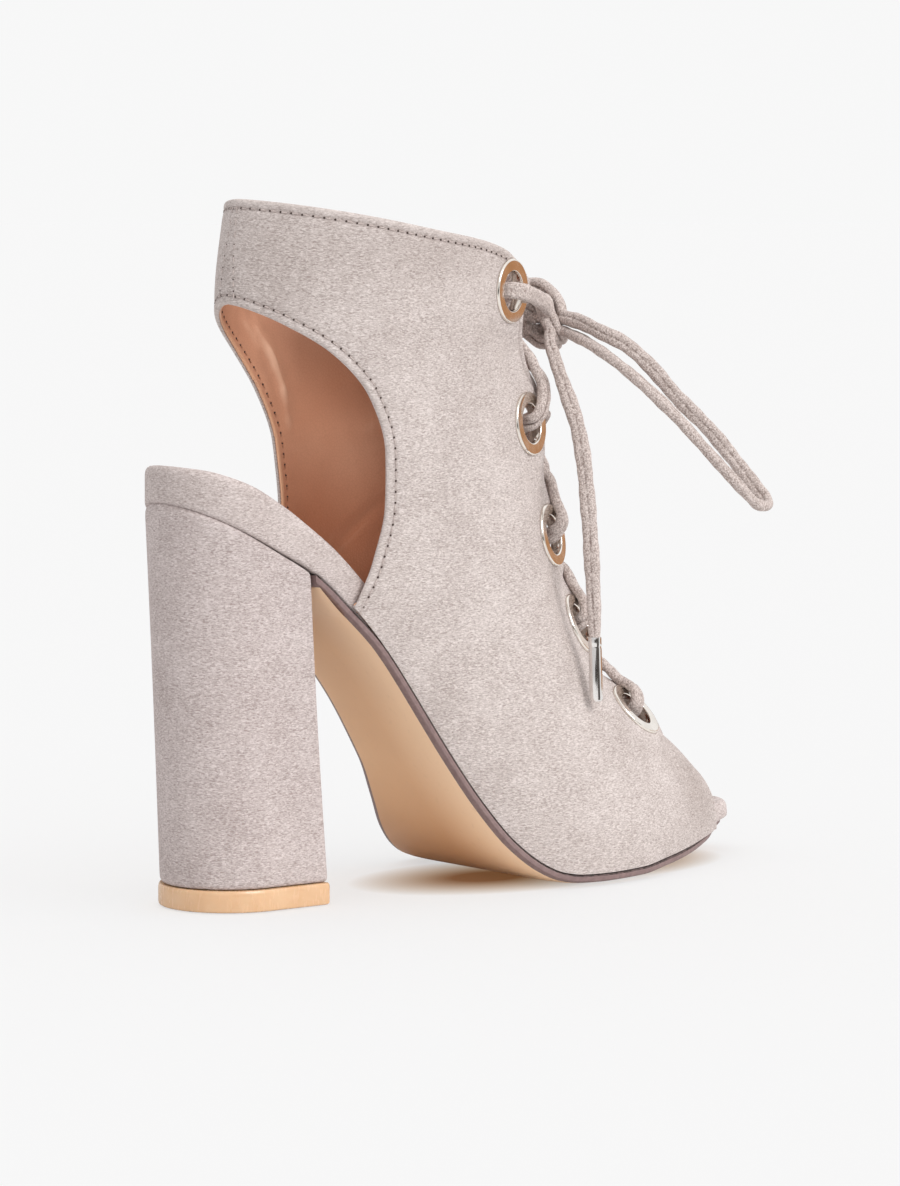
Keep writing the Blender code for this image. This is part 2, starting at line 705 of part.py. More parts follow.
for side in (LATERAL, MEDIAL):
    e = lace_holes[side][-1]
    edge = throat_edge(side, e.k - 0.05, e.lift + FLANGE + 3 * CLEAR + LACE_RADIUS)
    path = through([*outside(e, edge), edge, *reversed(leaving(edge - knot))], 10)
    name = f"lace_top_{side_name[side]}"
    new_object(name, tube_mesh(name, path, LACE_RADIUS), lace_suede)

# Bow: the knot, a loop and a hanging end with a metal tip on each side.
bpy.ops.mesh.primitive_uv_sphere_add(segments=14, ring_count=8, radius=KNOT_RADIUS, location=(0, 0, 0))
ball = bpy.context.object
knot_mesh = ball.data.copy()
bpy.data.objects.remove(ball)
new_object("lace_knot", knot_mesh, lace_suede).location = knot
for side in (LATERAL, MEDIAL):

    def sided(way, unit=MM):
        return Vector((way.x * unit, way.y * unit * -side, way.z * unit))

    name = side_name[side]
    out, back = leaving(sided(LOOP_OUT, 1.0)), leaving(sided(LOOP_BACK, 1.0))
    loop = through([*out, *(sided(w) for w in LOOP), *reversed(back)], 27)
    new_object(f"lace_loop_{name}", tube_mesh("loop", loop, LACE_RADIUS), lace_suede)
    hang = through([*leaving(sided(END_OUT, 1.0)), *(sided(w) for w in END)], 15)
    new_object(f"lace_end_{name}", tube_mesh("end", hang, LACE_RADIUS), lace_suede)
    down = (hang[-1] - hang[-2]).normalized()
    tip = [hang[-1] + down * CLEAR, hang[-1] + down * (CLEAR + AGLET_LENGTH)]
    new_object(f"aglet_{name}", tube_mesh("aglet", tip, AGLET_RADIUS), aglet_metal)
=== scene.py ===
import bisect
import math

import bmesh
import bpy
import numpy as np
from mathutils import Matrix, Vector
from mathutils.kdtree import KDTree


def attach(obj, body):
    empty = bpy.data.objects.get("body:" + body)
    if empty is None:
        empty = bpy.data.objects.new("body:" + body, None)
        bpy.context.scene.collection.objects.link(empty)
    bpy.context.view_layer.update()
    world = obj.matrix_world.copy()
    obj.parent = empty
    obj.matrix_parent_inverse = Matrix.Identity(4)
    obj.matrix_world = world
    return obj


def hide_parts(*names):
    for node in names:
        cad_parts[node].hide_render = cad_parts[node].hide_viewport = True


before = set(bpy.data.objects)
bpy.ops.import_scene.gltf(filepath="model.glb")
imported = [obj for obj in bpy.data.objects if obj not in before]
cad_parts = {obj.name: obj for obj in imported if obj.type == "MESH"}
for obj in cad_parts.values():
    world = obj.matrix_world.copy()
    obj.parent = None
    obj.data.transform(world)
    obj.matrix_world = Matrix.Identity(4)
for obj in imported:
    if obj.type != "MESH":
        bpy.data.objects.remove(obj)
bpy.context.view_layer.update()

scene = bpy.context.scene

# Studio: a pale seamless floor in even white light, with a soft lamp high over the outer side and a
# warm room beyond the toe that the metal mirrors. The camera stands low behind the heel, 1.26 m away.
CAMERA_TURN, CAMERA_RISE, CAMERA_ROLL = 0.67839, 0.08501, 0.00233
CAMERA_FAR = 1.25789
LOOK_AT = Vector((0.07463, 0.00001, 0.07862))
PICTURE_HEIGHT, FOCUS = 1186.0, 4586.17
SENSOR = 36.0
FLOOR_GREY, FLOOR_GLOW = 0.36, 0.605
BACKDROP = 0.9345
TABLE_GREY, TABLE_REACH = 0.80, 0.55
LAMP_FROM = Vector((0.10, -0.80, 0.62))
LAMP_STRENGTH, LAMP_ANGLE = 1.75, 0.55
ROOM_WAY = (0.985, 0.16, -0.05)
# Soft shadows on the floor under ball and toe: middle and reach, along x and y.
SHADOWS = [(0.085, -0.004, 0.044, 0.029), (0.122, -0.002, 0.046, 0.028)]
# Dark cards that the metal mirrors: the way to each, where it fades in, and its colour.
CARDS = [
    ((-0.30, -0.95, 0.06), 0.975, 0.982, (0.03, 0.025, 0.02, 1.0)),
    ((0.35, -0.93, 0.10), 0.985, 0.99, (0.06, 0.045, 0.04, 1.0)),
    ((-0.628, -0.778, -0.06), 0.978, 0.986, (0.05, 0.04, 0.035, 1.0)),
]

toward = Vector((
    -math.sin(CAMERA_TURN) * math.cos(CAMERA_RISE),
    -math.cos(CAMERA_TURN) * math.cos(CAMERA_RISE),
    math.sin(CAMERA_RISE),
))
rightward = Vector((math.cos(CAMERA_TURN), -math.sin(CAMERA_TURN), 0.0))
upward = toward.cross(rightward)
level = math.cos(CAMERA_ROLL) * rightward + math.sin(CAMERA_ROLL) * upward
camera = bpy.data.objects.new("camera", bpy.data.cameras.new("camera"))
camera.matrix_world = Matrix.Translation(LOOK_AT + toward * CAMERA_FAR) @ Matrix(
    (level, toward.cross(level), toward)
).transposed().to_4x4()
camera.data.sensor_width = SENSOR
camera.data.lens = FOCUS / PICTURE_HEIGHT * SENSOR
camera.data.clip_start = 0.01
scene.collection.objects.link(camera)
scene.camera = camera
scene.view_settings.view_transform = "Standard"


def node(tree, kind, inputs, **settings):
    """One node of a tree, its inputs given by name or number as values or other nodes' outputs."""
    made = tree.nodes.new(kind)
    for name, value in settings.items():
        setattr(made, name, value)
    for name, value in inputs.items():
        if isinstance(value, bpy.types.NodeSocket):
            tree.links.new(value, made.inputs[name])
        else:
            made.inputs[name].default_value = value
    return made.outputs


def step(tree, kind, inputs, **settings):
    """One node of a material."""
    return node(tree, "ShaderNode" + kind, inputs, **settings)


def ranged(tree, value, low, high, to_low=0.0, to_high=1.0):
    """A value brought from one range to another, and held inside it."""
    ends = {"From Min": low, "From Max": high, "To Min": to_low, "To Max": to_high}
    return step(tree, "MapRange", {"Value": value, **ends})["Result"]


def tinted(tree, share, first, second, how="MIX"):
    """Two colours mixed by a share."""
    return step(tree, "Mix", {0: share, 6: first, 7: second}, data_type="RGBA", blend_type=how)[2]


def product(tree, first, second):
    """Two values multiplied."""
    return step(tree, "Math", {0: first, 1: second}, operation="MULTIPLY")["Value"]


def even(grey):
    """A colour without a tint."""
    return (grey, grey, grey, 1.0)


def finish(name, roughness):
    """A new material with its shader and the place on the shoe."""
    made = bpy.data.materials.new(name)
    made.use_nodes = True
    shader = made.node_tree.nodes["Principled BSDF"]
    shader.inputs["Roughness"].default_value = roughness
    place = made.node_tree.nodes.new("ShaderNodeTexCoord").outputs["Object"]
    return made, made.node_tree, shader, place


def ground(name, reach, drop, grey, glow):
    """A flat pale plane under the shoe, of a half width in metres."""
    made, tree, shader, place = finish(name, 0.9)
    shader.inputs["Base Color"].default_value = even(grey)
    shader.inputs["Specular IOR Level"].default_value = 0.0
    shader.inputs["Emission Color"].default_value = even(1.0)
    shader.inputs["Emission Strength"].default_value = glow
    mesh = bpy.data.meshes.new(name)
    corners = ((-1, -1), (1, -1), (1, 1), (-1, 1))
    mesh.from_pydata([(x * reach, y * reach, -drop) for x, y in corners], [], [(0, 1, 2, 3)])
    mesh.materials.append(made)
    plane = bpy.data.objects.new(name, mesh)
    scene.collection.objects.link(plane)
    return plane, tree, shader, place


def sun(name, source, strength, angle, colour=(1.0, 1.0, 1.0)):
    """A far lamp that shines from a direction."""
    made = bpy.data.objects.new(name, bpy.data.lights.new(name, "SUN"))
    made.data.energy = strength
    made.data.angle = angle
    made.data.color = colour
    made.rotation_mode = "QUATERNION"
    made.rotation_quaternion = source.to_track_quat("Z", "Y")
    scene.collection.objects.link(made)
    return made


# The floor that is seen glows, so that it stays white; the table that is not seen throws the light back.
# Close under ball and toe the floor doesn't glow, and the tan of the sole shows in the shadow.
floor, tree, shader, place = ground("floor", 30.0, 0.0003, FLOOR_GREY, FLOOR_GLOW)
clear = 1.0
for x, y, long, broad in SHADOWS:
    off = step(tree, "Mapping", {"Vector": place, "Location": (-x / long, -y / broad, 0.0),
                                 "Scale": (1 / long, 1 / broad, 0.0)})["Vector"]
    off = step(tree, "VectorMath", {0: off}, operation="LENGTH")["Value"]
    off = ranged(tree, off, 0.25, 1.0)
    clear = step(tree, "Math", {0: off, 1: clear}, operation="MINIMUM")["Value"]
glow = tinted(tree, clear, (0.26, 0.155, 0.10, 1.0), even(1.0))
warm = tinted(tree, clear, (1.0, 0.74, 0.46, 1.0), even(1.0))
tree.links.new(tinted(tree, 1.0, glow, warm, "MULTIPLY"), shader.inputs["Emission Color"])
grey = tinted(tree, clear, (0.12, 0.085, 0.065, 1.0), even(FLOOR_GREY))
tree.links.new(grey, shader.inputs["Base Color"])
floor.visible_diffuse = floor.visible_glossy = floor.visible_transmission = floor.visible_shadow = False
table = ground("table", TABLE_REACH, 0.001, TABLE_GREY, 0.0)[0]
table.visible_camera = False

scene.world = bpy.data.worlds.new("studio")
scene.world.use_nodes = True
tree = scene.world.node_tree
way = step(tree, "TexCoord", {})["Generated"]
height = step(tree, "SeparateXYZ", {"Vector": way})["Z"]


def toward_way(direction, low, high):
    """How far the light's way lies in a direction, from 0 at low to 1 at high."""
    along = step(tree, "VectorMath", {0: way, 1: direction}, operation="DOT_PRODUCT")["Value"]
    return ranged(tree, along, low, high)


sky = tinted(tree, ranged(tree, height, -0.1, 0.9), (0.88, 0.88, 0.89, 1.0), even(1.08))
behind = product(tree, toward_way((-0.92, 0.1, 0.2), -0.2, 0.9), 0.45)
sky = tinted(tree, behind, sky, (0.42, 0.40, 0.40, 1.0))
low_down = ranged(tree, height, 0.07, 0.12, 1.0, 0.0)
room = product(tree, toward_way(ROOM_WAY, 0.82, 0.86), low_down)
sky = tinted(tree, room, sky, (0.50, 0.262, 0.132, 1.0))
for direction, low, high, colour in CARDS:
    sky = tinted(tree, toward_way(direction, low, high), sky, colour)
below = ranged(tree, height, 0.2, 0.35, 1.0, 0.0)
beyond = product(tree, toward_way((0.625, 0.776, 0.0), 0.90, 0.95), below)
sky = tinted(tree, beyond, sky, (0.13, 0.12, 0.11, 1.0))
seen = step(tree, "LightPath", {})["Is Camera Ray"]
sky = tinted(tree, seen, sky, even(BACKDROP))
tree.links.new(sky, tree.nodes["Background"].inputs["Color"])

lamp = sun("lamp", LAMP_FROM, LAMP_STRENGTH, LAMP_ANGLE, (1.0, 0.985, 0.97))
not_under_lamp = bpy.data.collections.new("not under the lamp")
not_under_lamp.objects.link(floor)
lamp.light_linking.receiver_collection = not_under_lamp
not_under_lamp.collection_objects[0].light_linking.link_state = "EXCLUDE"

# Outsole: a thin tan sheet from the front of the heel to the toe, flat on the floor under the ball.
# It is a smooth moulded sheet, glued on, and its edge is painted to match the suede.
MM = 0.001
HEEL_MIDDLE = 23.0  # from the back of the heel to the origin, in millimetres like every size below
CLEAR = 0.3
SOLE_THICK = 2.7
HEEL_ROUND = 19.6
TOE_TIP, TOE_ROUND, TOE_MIDDLE = 200.8, 9.2, 3.4
BREAST = 35.6  # front of the heel, where it meets the sole
OUTER, INNER = -1, 1
SIDE_NAME = {OUTER: "outer", INNER: "inner"}
# Along the shoe: height of the sole, outer and inner half width of the insole, and its thickness.
SOLE = [
    (0.0, 107.5, 19.6, 19.6, 10.5), (7.0, 104.0, 19.6, 19.6, 12.2), (16.0, 99.2, 19.6, 19.6, 13.0),
    (26.0, 94.0, 19.7, 19.7, 11.8), (36.0, 88.6, 19.8, 19.4, 9.6), (48.0, 78.4, 20.0, 18.0, 8.8),
    (60.0, 65.0, 20.0, 15.6, 8.4), (70.0, 51.0, 20.6, 13.8, 8.0), (80.0, 35.6, 22.6, 14.8, 7.4),
    (88.0, 23.6, 25.2, 19.3, 7.0), (96.0, 13.4, 28.4, 25.4, 6.6), (104.0, 6.8, 31.2, 30.2, 6.2),
    (110.0, 4.1, 32.8, 33.0, 6.0), (116.0, 3.2, 33.7, 34.3, 6.0), (124.0, 3.0, 34.0, 35.2, 6.0),
    (138.0, 3.2, 32.4, 34.0, 6.0), (150.0, 4.2, 28.6, 30.8, 5.8), (165.0, 5.5, 22.2, 25.8, 5.5),
    (180.0, 7.0, 14.0, 19.0, 5.2),
    (195.4, 8.8, 5.0, 11.8, 5.0), (200.8, 9.4, 3.0, 9.8, 5.0),
]


def curve(xs, ys):
    """A function for the curve through the points (xs, ys), which doesn't overshoot them."""
    rise = [(b - a) / (q - p) for a, b, p, q in zip(ys, ys[1:], xs, xs[1:])]
    slope = [rise[0]]
    for before, after in zip(rise, rise[1:]):
        slope.append(2 * before * after / (before + after) if before * after > 0 else 0.0)
    slope.append(rise[-1])

    def at(x):
        i = min(max(bisect.bisect_right(xs, x) - 1, 0), len(rise) - 1)
        run = xs[i + 1] - xs[i]
        t = (x - xs[i]) / run
        start = ys[i] * (1 + 2 * t) * (1 - t) ** 2 + slope[i] * run * t * (1 - t) ** 2
        return start + ys[i + 1] * t * t * (3 - 2 * t) + slope[i + 1] * run * t * t * (t - 1)

    return at


sole_x, *sole_columns = (list(column) for column in zip(*SOLE))
seat, outer_half, inner_half, insole_thick = (curve(sole_x, column) for column in sole_columns)


def rim(side, x):
    """The y of the insole's edge at x, with round ends at heel and toe."""
    if x < HEEL_ROUND:
        return side * math.sqrt(max(HEEL_ROUND**2 - (HEEL_ROUND - x) ** 2, 0.0))
    ahead = x - (TOE_TIP - TOE_ROUND)
    if ahead > TOE_ROUND * math.sin(math.radians(24)):
        return TOE_MIDDLE + side * math.sqrt(max(TOE_ROUND**2 - ahead**2, 0.0))
    return side * (outer_half if side == OUTER else inner_half)(x)


def above_seat(x, y, height):
    """A point straight out of the sole's slope, or straight up or down where the heel is."""
    run, rise = 0.4, seat(min(x + 0.2, TOE_TIP)) - seat(max(x - 0.2, 0.0))
    nx, nz = -rise / math.hypot(run, rise), run / math.hypot(run, rise)
    if height > 0:
        nx *= min(max(x, 0.0) / BREAST, 1.0) ** 2
        nz = math.sqrt(1 - nx * nx)
    else:
        lean = min(max((x - BREAST) / 8, 0.0), 1.0)
        nx, nz = nx * lean, (1 - lean * nx * nx) / nz
    return (x + nx * height, y, seat(x) + nz * height)


def outline(first, out):
    """The board's outline from above: the outer side from heel to toe, then the inner side back."""
    places = [HEEL_ROUND * (1 - math.cos(math.radians(a))) for a in np.linspace(5, 88, 17)]
    turn = TOE_TIP - TOE_ROUND * (1 - math.sin(math.radians(24)))
    places += list(np.arange(HEEL_ROUND + 0.8, turn, 1.6))
    places += [TOE_TIP - TOE_ROUND * (1 - math.sin(math.radians(a))) for a in np.linspace(24, 84, 13)]
    places = [first] + [x for x in places if x > first + 0.4] if first > places[0] else places
    places = [x for x in places if rim(INNER, x) - rim(OUTER, x) + 2 * out(x) > 1.2]
    outer = [(x, rim(OUTER, x) - out(x)) for x in places]
    return outer + [(x, rim(INNER, x) + out(x)) for x in reversed(places)]


def board(line, profile, crown):
    """Points, faces and edge steps of a board on the sole, its edge given by steps of (inset, height)."""
    n, half = len(line), len(line) // 2
    flat = np.array(line)
    along = np.roll(flat, -1, 0) - np.roll(flat, 1, 0)
    out = np.stack([along[:, 1], -along[:, 0]], 1) / np.linalg.norm(along, axis=1)[:, None]
    steps = len(profile(0.0))
    plan, points, faces, zones = [], [], [], []
    for s in range(steps):
        for (x, y), (nx, ny) in zip(line, out):
            inset, high = profile(x)[s]
            plan.append((x - nx * inset, y - ny * inset, high))
            points.append(above_seat(*plan[-1]))
    across = 10
    rows = {0: [], steps - 1: []}
    for s, rise in ((0, 0.0), (steps - 1, crown)):
        for i in range(half):
            a, b = s * n + i, s * n + n - 1 - i
            row = [a]
            for t in np.linspace(0, 1, across + 1)[1:-1]:
                x, y, high = ((1 - t) * p + t * q for p, q in zip(plan[a], plan[b]))
                row.append(len(points))
                swell = min(i, half - 1 - i, 5) / 5 * rise
                points.append(above_seat(x, y, high + swell * (1 - (2 * t - 1) ** 4)))
            rows[s].append(row + [b])
        for near, far in zip(rows[s], rows[s][1:]):
            for j in range(across):
                faces.append((near[j], near[j + 1], far[j + 1], far[j]))
                zones.append(-1 if s == 0 else steps)
    for s in range(steps - 1):
        for i in range(n):
            j = (i + 1) % n
            below, above = [s * n + i, s * n + j], [(s + 1) * n + j, (s + 1) * n + i]
            if i in (half - 1, n - 1):
                below = rows[0][i % half - (i == n - 1) * (half - 1)] if s == 0 else below
                above = rows[steps - 1][i % half - (i == n - 1) * (half - 1)] if s == steps - 2 else above
                below = below if below[0] == s * n + i else below[::-1]
                above = above if above[0] == (s + 1) * n + j else above[::-1]
            faces.append((*below, *above))
            zones.append(s)
    return points, faces, zones


def in_frame(p):
    """A point in millimetres from the back of the heel, as metres in the shoe's frame."""
    return ((p[0] - HEEL_MIDDLE) * MM, p[1] * MM, p[2] * MM)


def piece(name, points, faces, finishes, zones=None, sharp=35):
    """A piece from points in millimetres, its faces turned outward, one finish for each zone of faces."""
    mesh = bpy.data.meshes.new(name)
    mesh.from_pydata([in_frame(p) for p in points], [], faces)
    for made in finishes:
        mesh.materials.append(made)
    if zones is not None:
        mesh.polygons.foreach_set("material_index", zones)
    b = bmesh.new()
    b.from_mesh(mesh)
    bmesh.ops.remove_doubles(b, verts=b.verts, dist=0.000004)
    bmesh.ops.recalc_face_normals(b, faces=b.faces)
    b.to_mesh(mesh)
    b.free()
    mesh.polygons.foreach_set("use_smooth", [True] * len(mesh.polygons))
    mesh.set_sharp_from_angle(angle=math.radians(sharp))
    made = bpy.data.objects.new(name, mesh)
    scene.collection.objects.link(made)
    return made


def settled(made, slot, *nodes):
    """The piece rides on the shoe and stands for its CAD nodes, which are hidden; the slot it is given is not
    used.
    """
    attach(made, "root")
    if nodes:
        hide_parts(*nodes)
    return made


def noise(tree, place, scale, detail=2.0, distortion=0.0):
    """An uneven value from 0 to 1, in grains of 1 / scale metres."""
    values = {"Vector": place, "Scale": scale, "Detail": detail, "Distortion": distortion}
    return step(tree, "TexNoise", values)["Fac"]


def weighed(tree, *shares):
    """The sum of values, each with its weight."""
    total = 0.0
    for value, weight in shares:
        total = step(tree, "Math", {0: value, 1: weight, 2: total}, operation="MULTIPLY_ADD")["Value"]
    return total


def raised(tree, shader, height, depth, strength=1.0):
    """Relief on a material, from a height of 0 to 1 that stands for a depth in metres."""
    relief = step(tree, "Bump", {"Height": height, "Distance": depth, "Strength": strength})
    tree.links.new(relief["Normal"], shader.inputs["Normal"])


def marked(tree, label):
    """The value of a mark that is kept on the mesh."""
    return step(tree, "Attribute", {}, attribute_name=label)["Fac"]


def speckled(name, roughness, scale, detail, span, first, second, depth=0.0):
    """A finish in two colours that change by a fine noise, which also gives its relief."""
    made, tree, shader, place = finish(name, roughness)
    fine = noise(tree, place, scale, detail)
    tree.links.new(tinted(tree, ranged(tree, fine, *span), first, second), shader.inputs["Base Color"])
    if depth:
        raised(tree, shader, fine, depth)
    return made


sole_tan, tree, shader, place = finish("tan sole sheet", 0.42)
smudge = noise(tree, place, 38.0, 3.0)
grain = noise(tree, place, 900.0, 3.0)
scuffs = noise(tree, step(tree, "Mapping", {"Vector": place, "Scale": (0.12, 1.0, 1.0)})["Vector"], 500.0)
tan = tinted(tree, ranged(tree, smudge, 0.3, 0.7), (0.80, 0.475, 0.25, 1.0), (0.86, 0.53, 0.29, 1.0))
# Painted highlight: the sheet is painted paler towards its outer edge, where the light catches it.
across = marked(tree, "across")
tan = tinted(tree, ranged(tree, across, 0.02, 0.50, 0.85, 0.0), tan, (0.98, 0.71, 0.475, 1.0))
# Painted shade: low down and away from the outer edge the tan is painted darker and warmer, as the shade near
# the floor.
low = ranged(tree, step(tree, "SeparateXYZ", {"Vector": place})["Z"], 0.004, 0.034, 0.75, 0.0)
low = product(tree, low, ranged(tree, across, 0.05, 0.45))
tan = tinted(tree, low, tan, (0.58, 0.265, 0.105, 1.0))
tan = tinted(tree, ranged(tree, scuffs, 0.62, 0.80, 0.0, 0.2), tan, (0.62, 0.38, 0.21, 1.0))
tree.links.new(tan, shader.inputs["Base Color"])
tree.links.new(ranged(tree, smudge, 0.3, 0.7, 0.36, 0.5), shader.inputs["Roughness"])
raised(tree, shader, weighed(tree, (grain, 0.6), (scuffs, 0.4)), 0.00006)

edge_paint = speckled("sole edge paint", 0.5, 700.0, 3.0, (0.3, 0.7),
                      (0.19, 0.122, 0.118, 1.0), (0.25, 0.168, 0.16, 1.0), 0.00005)
# Painted shade: the top of the edge, next to the upper, is painted dark as the shade in the seam between
# upper and sole.
seam_shade = speckled("painted seam shade", 0.8, 900.0, 3.0, (0.35, 0.65),
                     (0.035, 0.024, 0.022, 1.0), (0.15, 0.10, 0.095, 1.0), 0.0002)

sole_edge = curve([0.0, 46.0, 58.0, 155.0, 178.0, 190.0, 203.0], [0.4, 0.4, 2.6, 2.6, 1.2, -1.4, -4.2])
under, top = -CLEAR - SOLE_THICK, -CLEAR
SHEET_EDGE = [(12.0, under), (8.5, under + 0.05), (5.5, under + 0.18), (3.0, under + 0.40),
              (1.8, under + 0.56), (0.5, under + 0.86), (0.15, under + 1.2), (0.0, top - 0.7),
              (0.05, top - 0.35), (0.5, top), (2.0, top)]
PAINT_FROM, SEAM_SHADE_FROM = 3, 7  # the steps of that edge after which paint and the painted seam shade begin
points, faces, zones = board(outline(BREAST + 2 * CLEAR, sole_edge), lambda x: SHEET_EDGE, 0.0)
painted = [(z > PAINT_FROM) + (z > SEAM_SHADE_FROM) if z < len(SHEET_EDGE) - 1 else 0 for z in zones]
outsole = piece("outsole_sheet", points, faces, [sole_tan, edge_paint, seam_shade], painted)
outsole.data.attributes.new("across", "FLOAT", "POINT")
shares = []
for v in outsole.data.vertices:
    x, y = min(max(v.co.x / MM + HEEL_MIDDLE, BREAST), TOE_TIP - 0.5), v.co.y / MM
    shares.append((y - rim(OUTER, x) + 2.6) / (rim(INNER, x) - rim(OUTER, x) + 5.2))
outsole.data.attributes["across"].data.foreach_set("value", shares)
settled(outsole, "sole leather", "outsole")

# Heel: a tall block with a round back and a flat front, a light core wrapped in suede.
# The suede is drawn tight and glued, turned in at the top under the insole and at the bottom.
FLOOR_BACK, FLOOR_FRONT, FLOOR_HALF = 4.2, 42.0, 18.4
TOP_PIECE = 5.8
HEEL_CORNER, HEEL_LONG = 1.3, 38.0
HEEL_WAIST = 0.03
HEEL_CORE = 22.0  # x of the core, towards which the suede is turned in


def heel_outline(share):
    """Floor x and half width of the heel, at a share of its length."""
    x = FLOOR_BACK + (FLOOR_FRONT - FLOOR_BACK) * share
    back = max(FLOOR_HALF - (x - FLOOR_BACK), 0.0) / FLOOR_HALF
    return x, FLOOR_HALF * math.sqrt(max(1 - back * back, 0.0))


def heel_places():
    """Shares of the heel's length along one side, with how far the front corner draws the side in."""
    round_back = [(0.5 * (1 - math.cos(math.radians(a))) * 0.97, 0.0) for a in np.linspace(4, 90, 20)]
    front = HEEL_CORNER / HEEL_LONG
    side = [(s, 0.0) for s in np.linspace(0.52, 1 - front, 14)]
    turn = [math.radians(a) for a in (22, 45, 68, 90)]
    corner = [(1 - front * (1 - math.sin(a)), HEEL_CORNER * (1 - math.cos(a))) for a in turn]
    return round_back + side + corner


def stacked(levels, n):
    """Faces of rings of n points laid one on the other, the lowest and the highest closed across."""
    faces = []
    for r in range(levels - 1):
        for i in range(n):
            j = (i + 1) % n
            faces.append((r * n + i, r * n + j, (r + 1) * n + j, (r + 1) * n + i))
    for r in (0, levels - 1):
        for i in range(n // 2 - 1):
            faces.append((r * n + i, r * n + i + 1, r * n + n - 2 - i, r * n + n - 1 - i))
    return faces


def suede(name, pale, deep, seam=None):
    """Suede: short fibres lying two ways in patches over a clouded ground. Where it has a free edge with
    a seam so far from it, it also shows painted shade over dents and along the collar, its fuzzy edge, and
    painted shade in the groove of the drawn seam."""
    made, tree, shader, place = finish(name, 0.95)
    patches = ranged(tree, noise(tree, place, 330.0, 2.0), 0.44, 0.56)
    combed = []
    for turn in ((0.3, 0.6, 0.2), (-0.3, -0.75, -0.4)):
        lain = step(tree, "Mapping", {"Vector": place, "Rotation": turn, "Scale": (0.5, 0.5, 1.6)})["Vector"]
        combed.append(noise(tree, lain, 2000.0, 1.0, 0.6))
    fibres = step(tree, "Mix", {0: patches, 2: combed[0], 3: combed[1]}, data_type="FLOAT")[0]
    curls = noise(tree, place, 950.0, 1.0, 2.2)
    blotches = noise(tree, place, 170.0, 2.0, 0.3)
    cloud = noise(tree, place, 48.0, 3.0, 0.4)
    tone = weighed(tree, (fibres, 2.9), (curls, 0.6), (blotches, 0.35), (cloud, 0.7))
    colour = tinted(tree, ranged(tree, tone, 1.7, 2.86), deep, pale)
    if seam:
        # Painted shade: the suede is painted darker over soft dents and along the collar.
        colour = tinted(tree, marked(tree, "shade_patches"), colour, (0.76, 0.735, 0.72, 1.0), "MULTIPLY")
        edge = marked(tree, "from_edge")
        fuzzy = ranged(tree, edge, 0.4, 1.7, 0.25, 0.0)
        colour = tinted(tree, fuzzy, colour, (0.70, 0.63, 0.59, 1.0))
        # Painted shade: the suede is painted darker along the seam, in the groove that the drawn stitches
        # pull in.
        off_seam = step(tree, "Math", {0: edge, 1: seam}, operation="SUBTRACT")["Value"]
        off_seam = step(tree, "Math", {0: off_seam}, operation="ABSOLUTE")["Value"]
        drawn = product(tree, ranged(tree, off_seam, 0.1, 0.7, 0.45, 0.0), marked(tree, "sewn"))
        colour = tinted(tree, drawn, colour, (0.30, 0.24, 0.22, 1.0))
    tree.links.new(colour, shader.inputs["Base Color"])
    tree.links.new(ranged(tree, fibres, 0.3, 0.7, 0.86, 1.0), shader.inputs["Roughness"])
    shader.inputs["Specular IOR Level"].default_value = 0.2
    shader.inputs["Sheen Weight"].default_value = 0.12
    shader.inputs["Sheen Roughness"].default_value = 0.5
    shader.inputs["Sheen Tint"].default_value = (0.95, 0.88, 0.86, 1.0)
    raised(tree, shader, weighed(tree, (fibres, 0.7), (curls, 0.5)), 0.0003, 0.8)
    return made


heel_suede = suede("heel suede nap", (0.665, 0.59, 0.575, 1.0), (0.36, 0.295, 0.28, 1.0))
LEVELS = [0.0, 0.004, 0.01, 0.02, *np.linspace(0.05, 0.95, 26), 0.975, 0.988, 0.995, 1.0]
turned_in = curve([0.0, 0.006, 0.02, 0.98, 0.993, 1.0], [0.7, 0.15, 0.0, 0.0, 0.25, 1.1])
points = []
places = heel_places()
for t in LEVELS:
    ring = []
    for share, drawn in places:
        floor_x, floor_half = heel_outline(share)
        top_x = BREAST * share
        high = Vector(above_seat(top_x, rim(INNER, top_x), -CLEAR))
        p = Vector((floor_x, floor_half, TOP_PIECE + CLEAR)).lerp(high, t)
        p.y = (p.y - drawn) * (1 - HEEL_WAIST * math.sin(math.pi * t))
        middle = Vector((HEEL_CORE, 0.0, p.z))
        p += (middle - p).normalized() * turned_in(t)
        ring.append(p)
    points += [(p.x, -p.y, p.z) for p in ring] + [tuple(p) for p in reversed(ring)]
faces = stacked(len(LEVELS), 2 * len(places))
settled(piece("heel_block", points, faces, [heel_suede]), "heel suede", "heel")

# Heel top piece: the wearing plate under the heel, moulded in glossy nude plastic and pinned on.
# It stands out a little from the suede all round, with an eased edge.
top_plastic, tree, shader, place = finish("nude top piece plastic", 0.22)
flow = noise(tree, place, 160.0, 3.0, 0.6)
nicks = noise(tree, step(tree, "Mapping", {"Vector": place, "Scale": (1.0, 1.0, 0.25)})["Vector"], 900.0)
nude = tinted(tree, ranged(tree, flow, 0.3, 0.7), (0.68, 0.425, 0.243, 1.0), (0.73, 0.485, 0.293, 1.0))
tree.links.new(nude, shader.inputs["Base Color"])
tree.links.new(ranged(tree, nicks, 0.35, 0.75, 0.18, 0.34), shader.inputs["Roughness"])
shader.inputs["Subsurface Weight"].default_value = 0.15
shader.inputs["Subsurface Radius"].default_value = (0.003, 0.0018, 0.001)
raised(tree, shader, weighed(tree, (flow, 0.6), (nicks, 0.4)), 0.00005)
PLATE_EDGE = [(1.4, 0.0), (0.5, 0.0), (0.12, 0.25), (0.0, 0.8),
              (0.0, 4.6), (0.1, 5.3), (0.4, 5.7), (1.2, 5.8)]
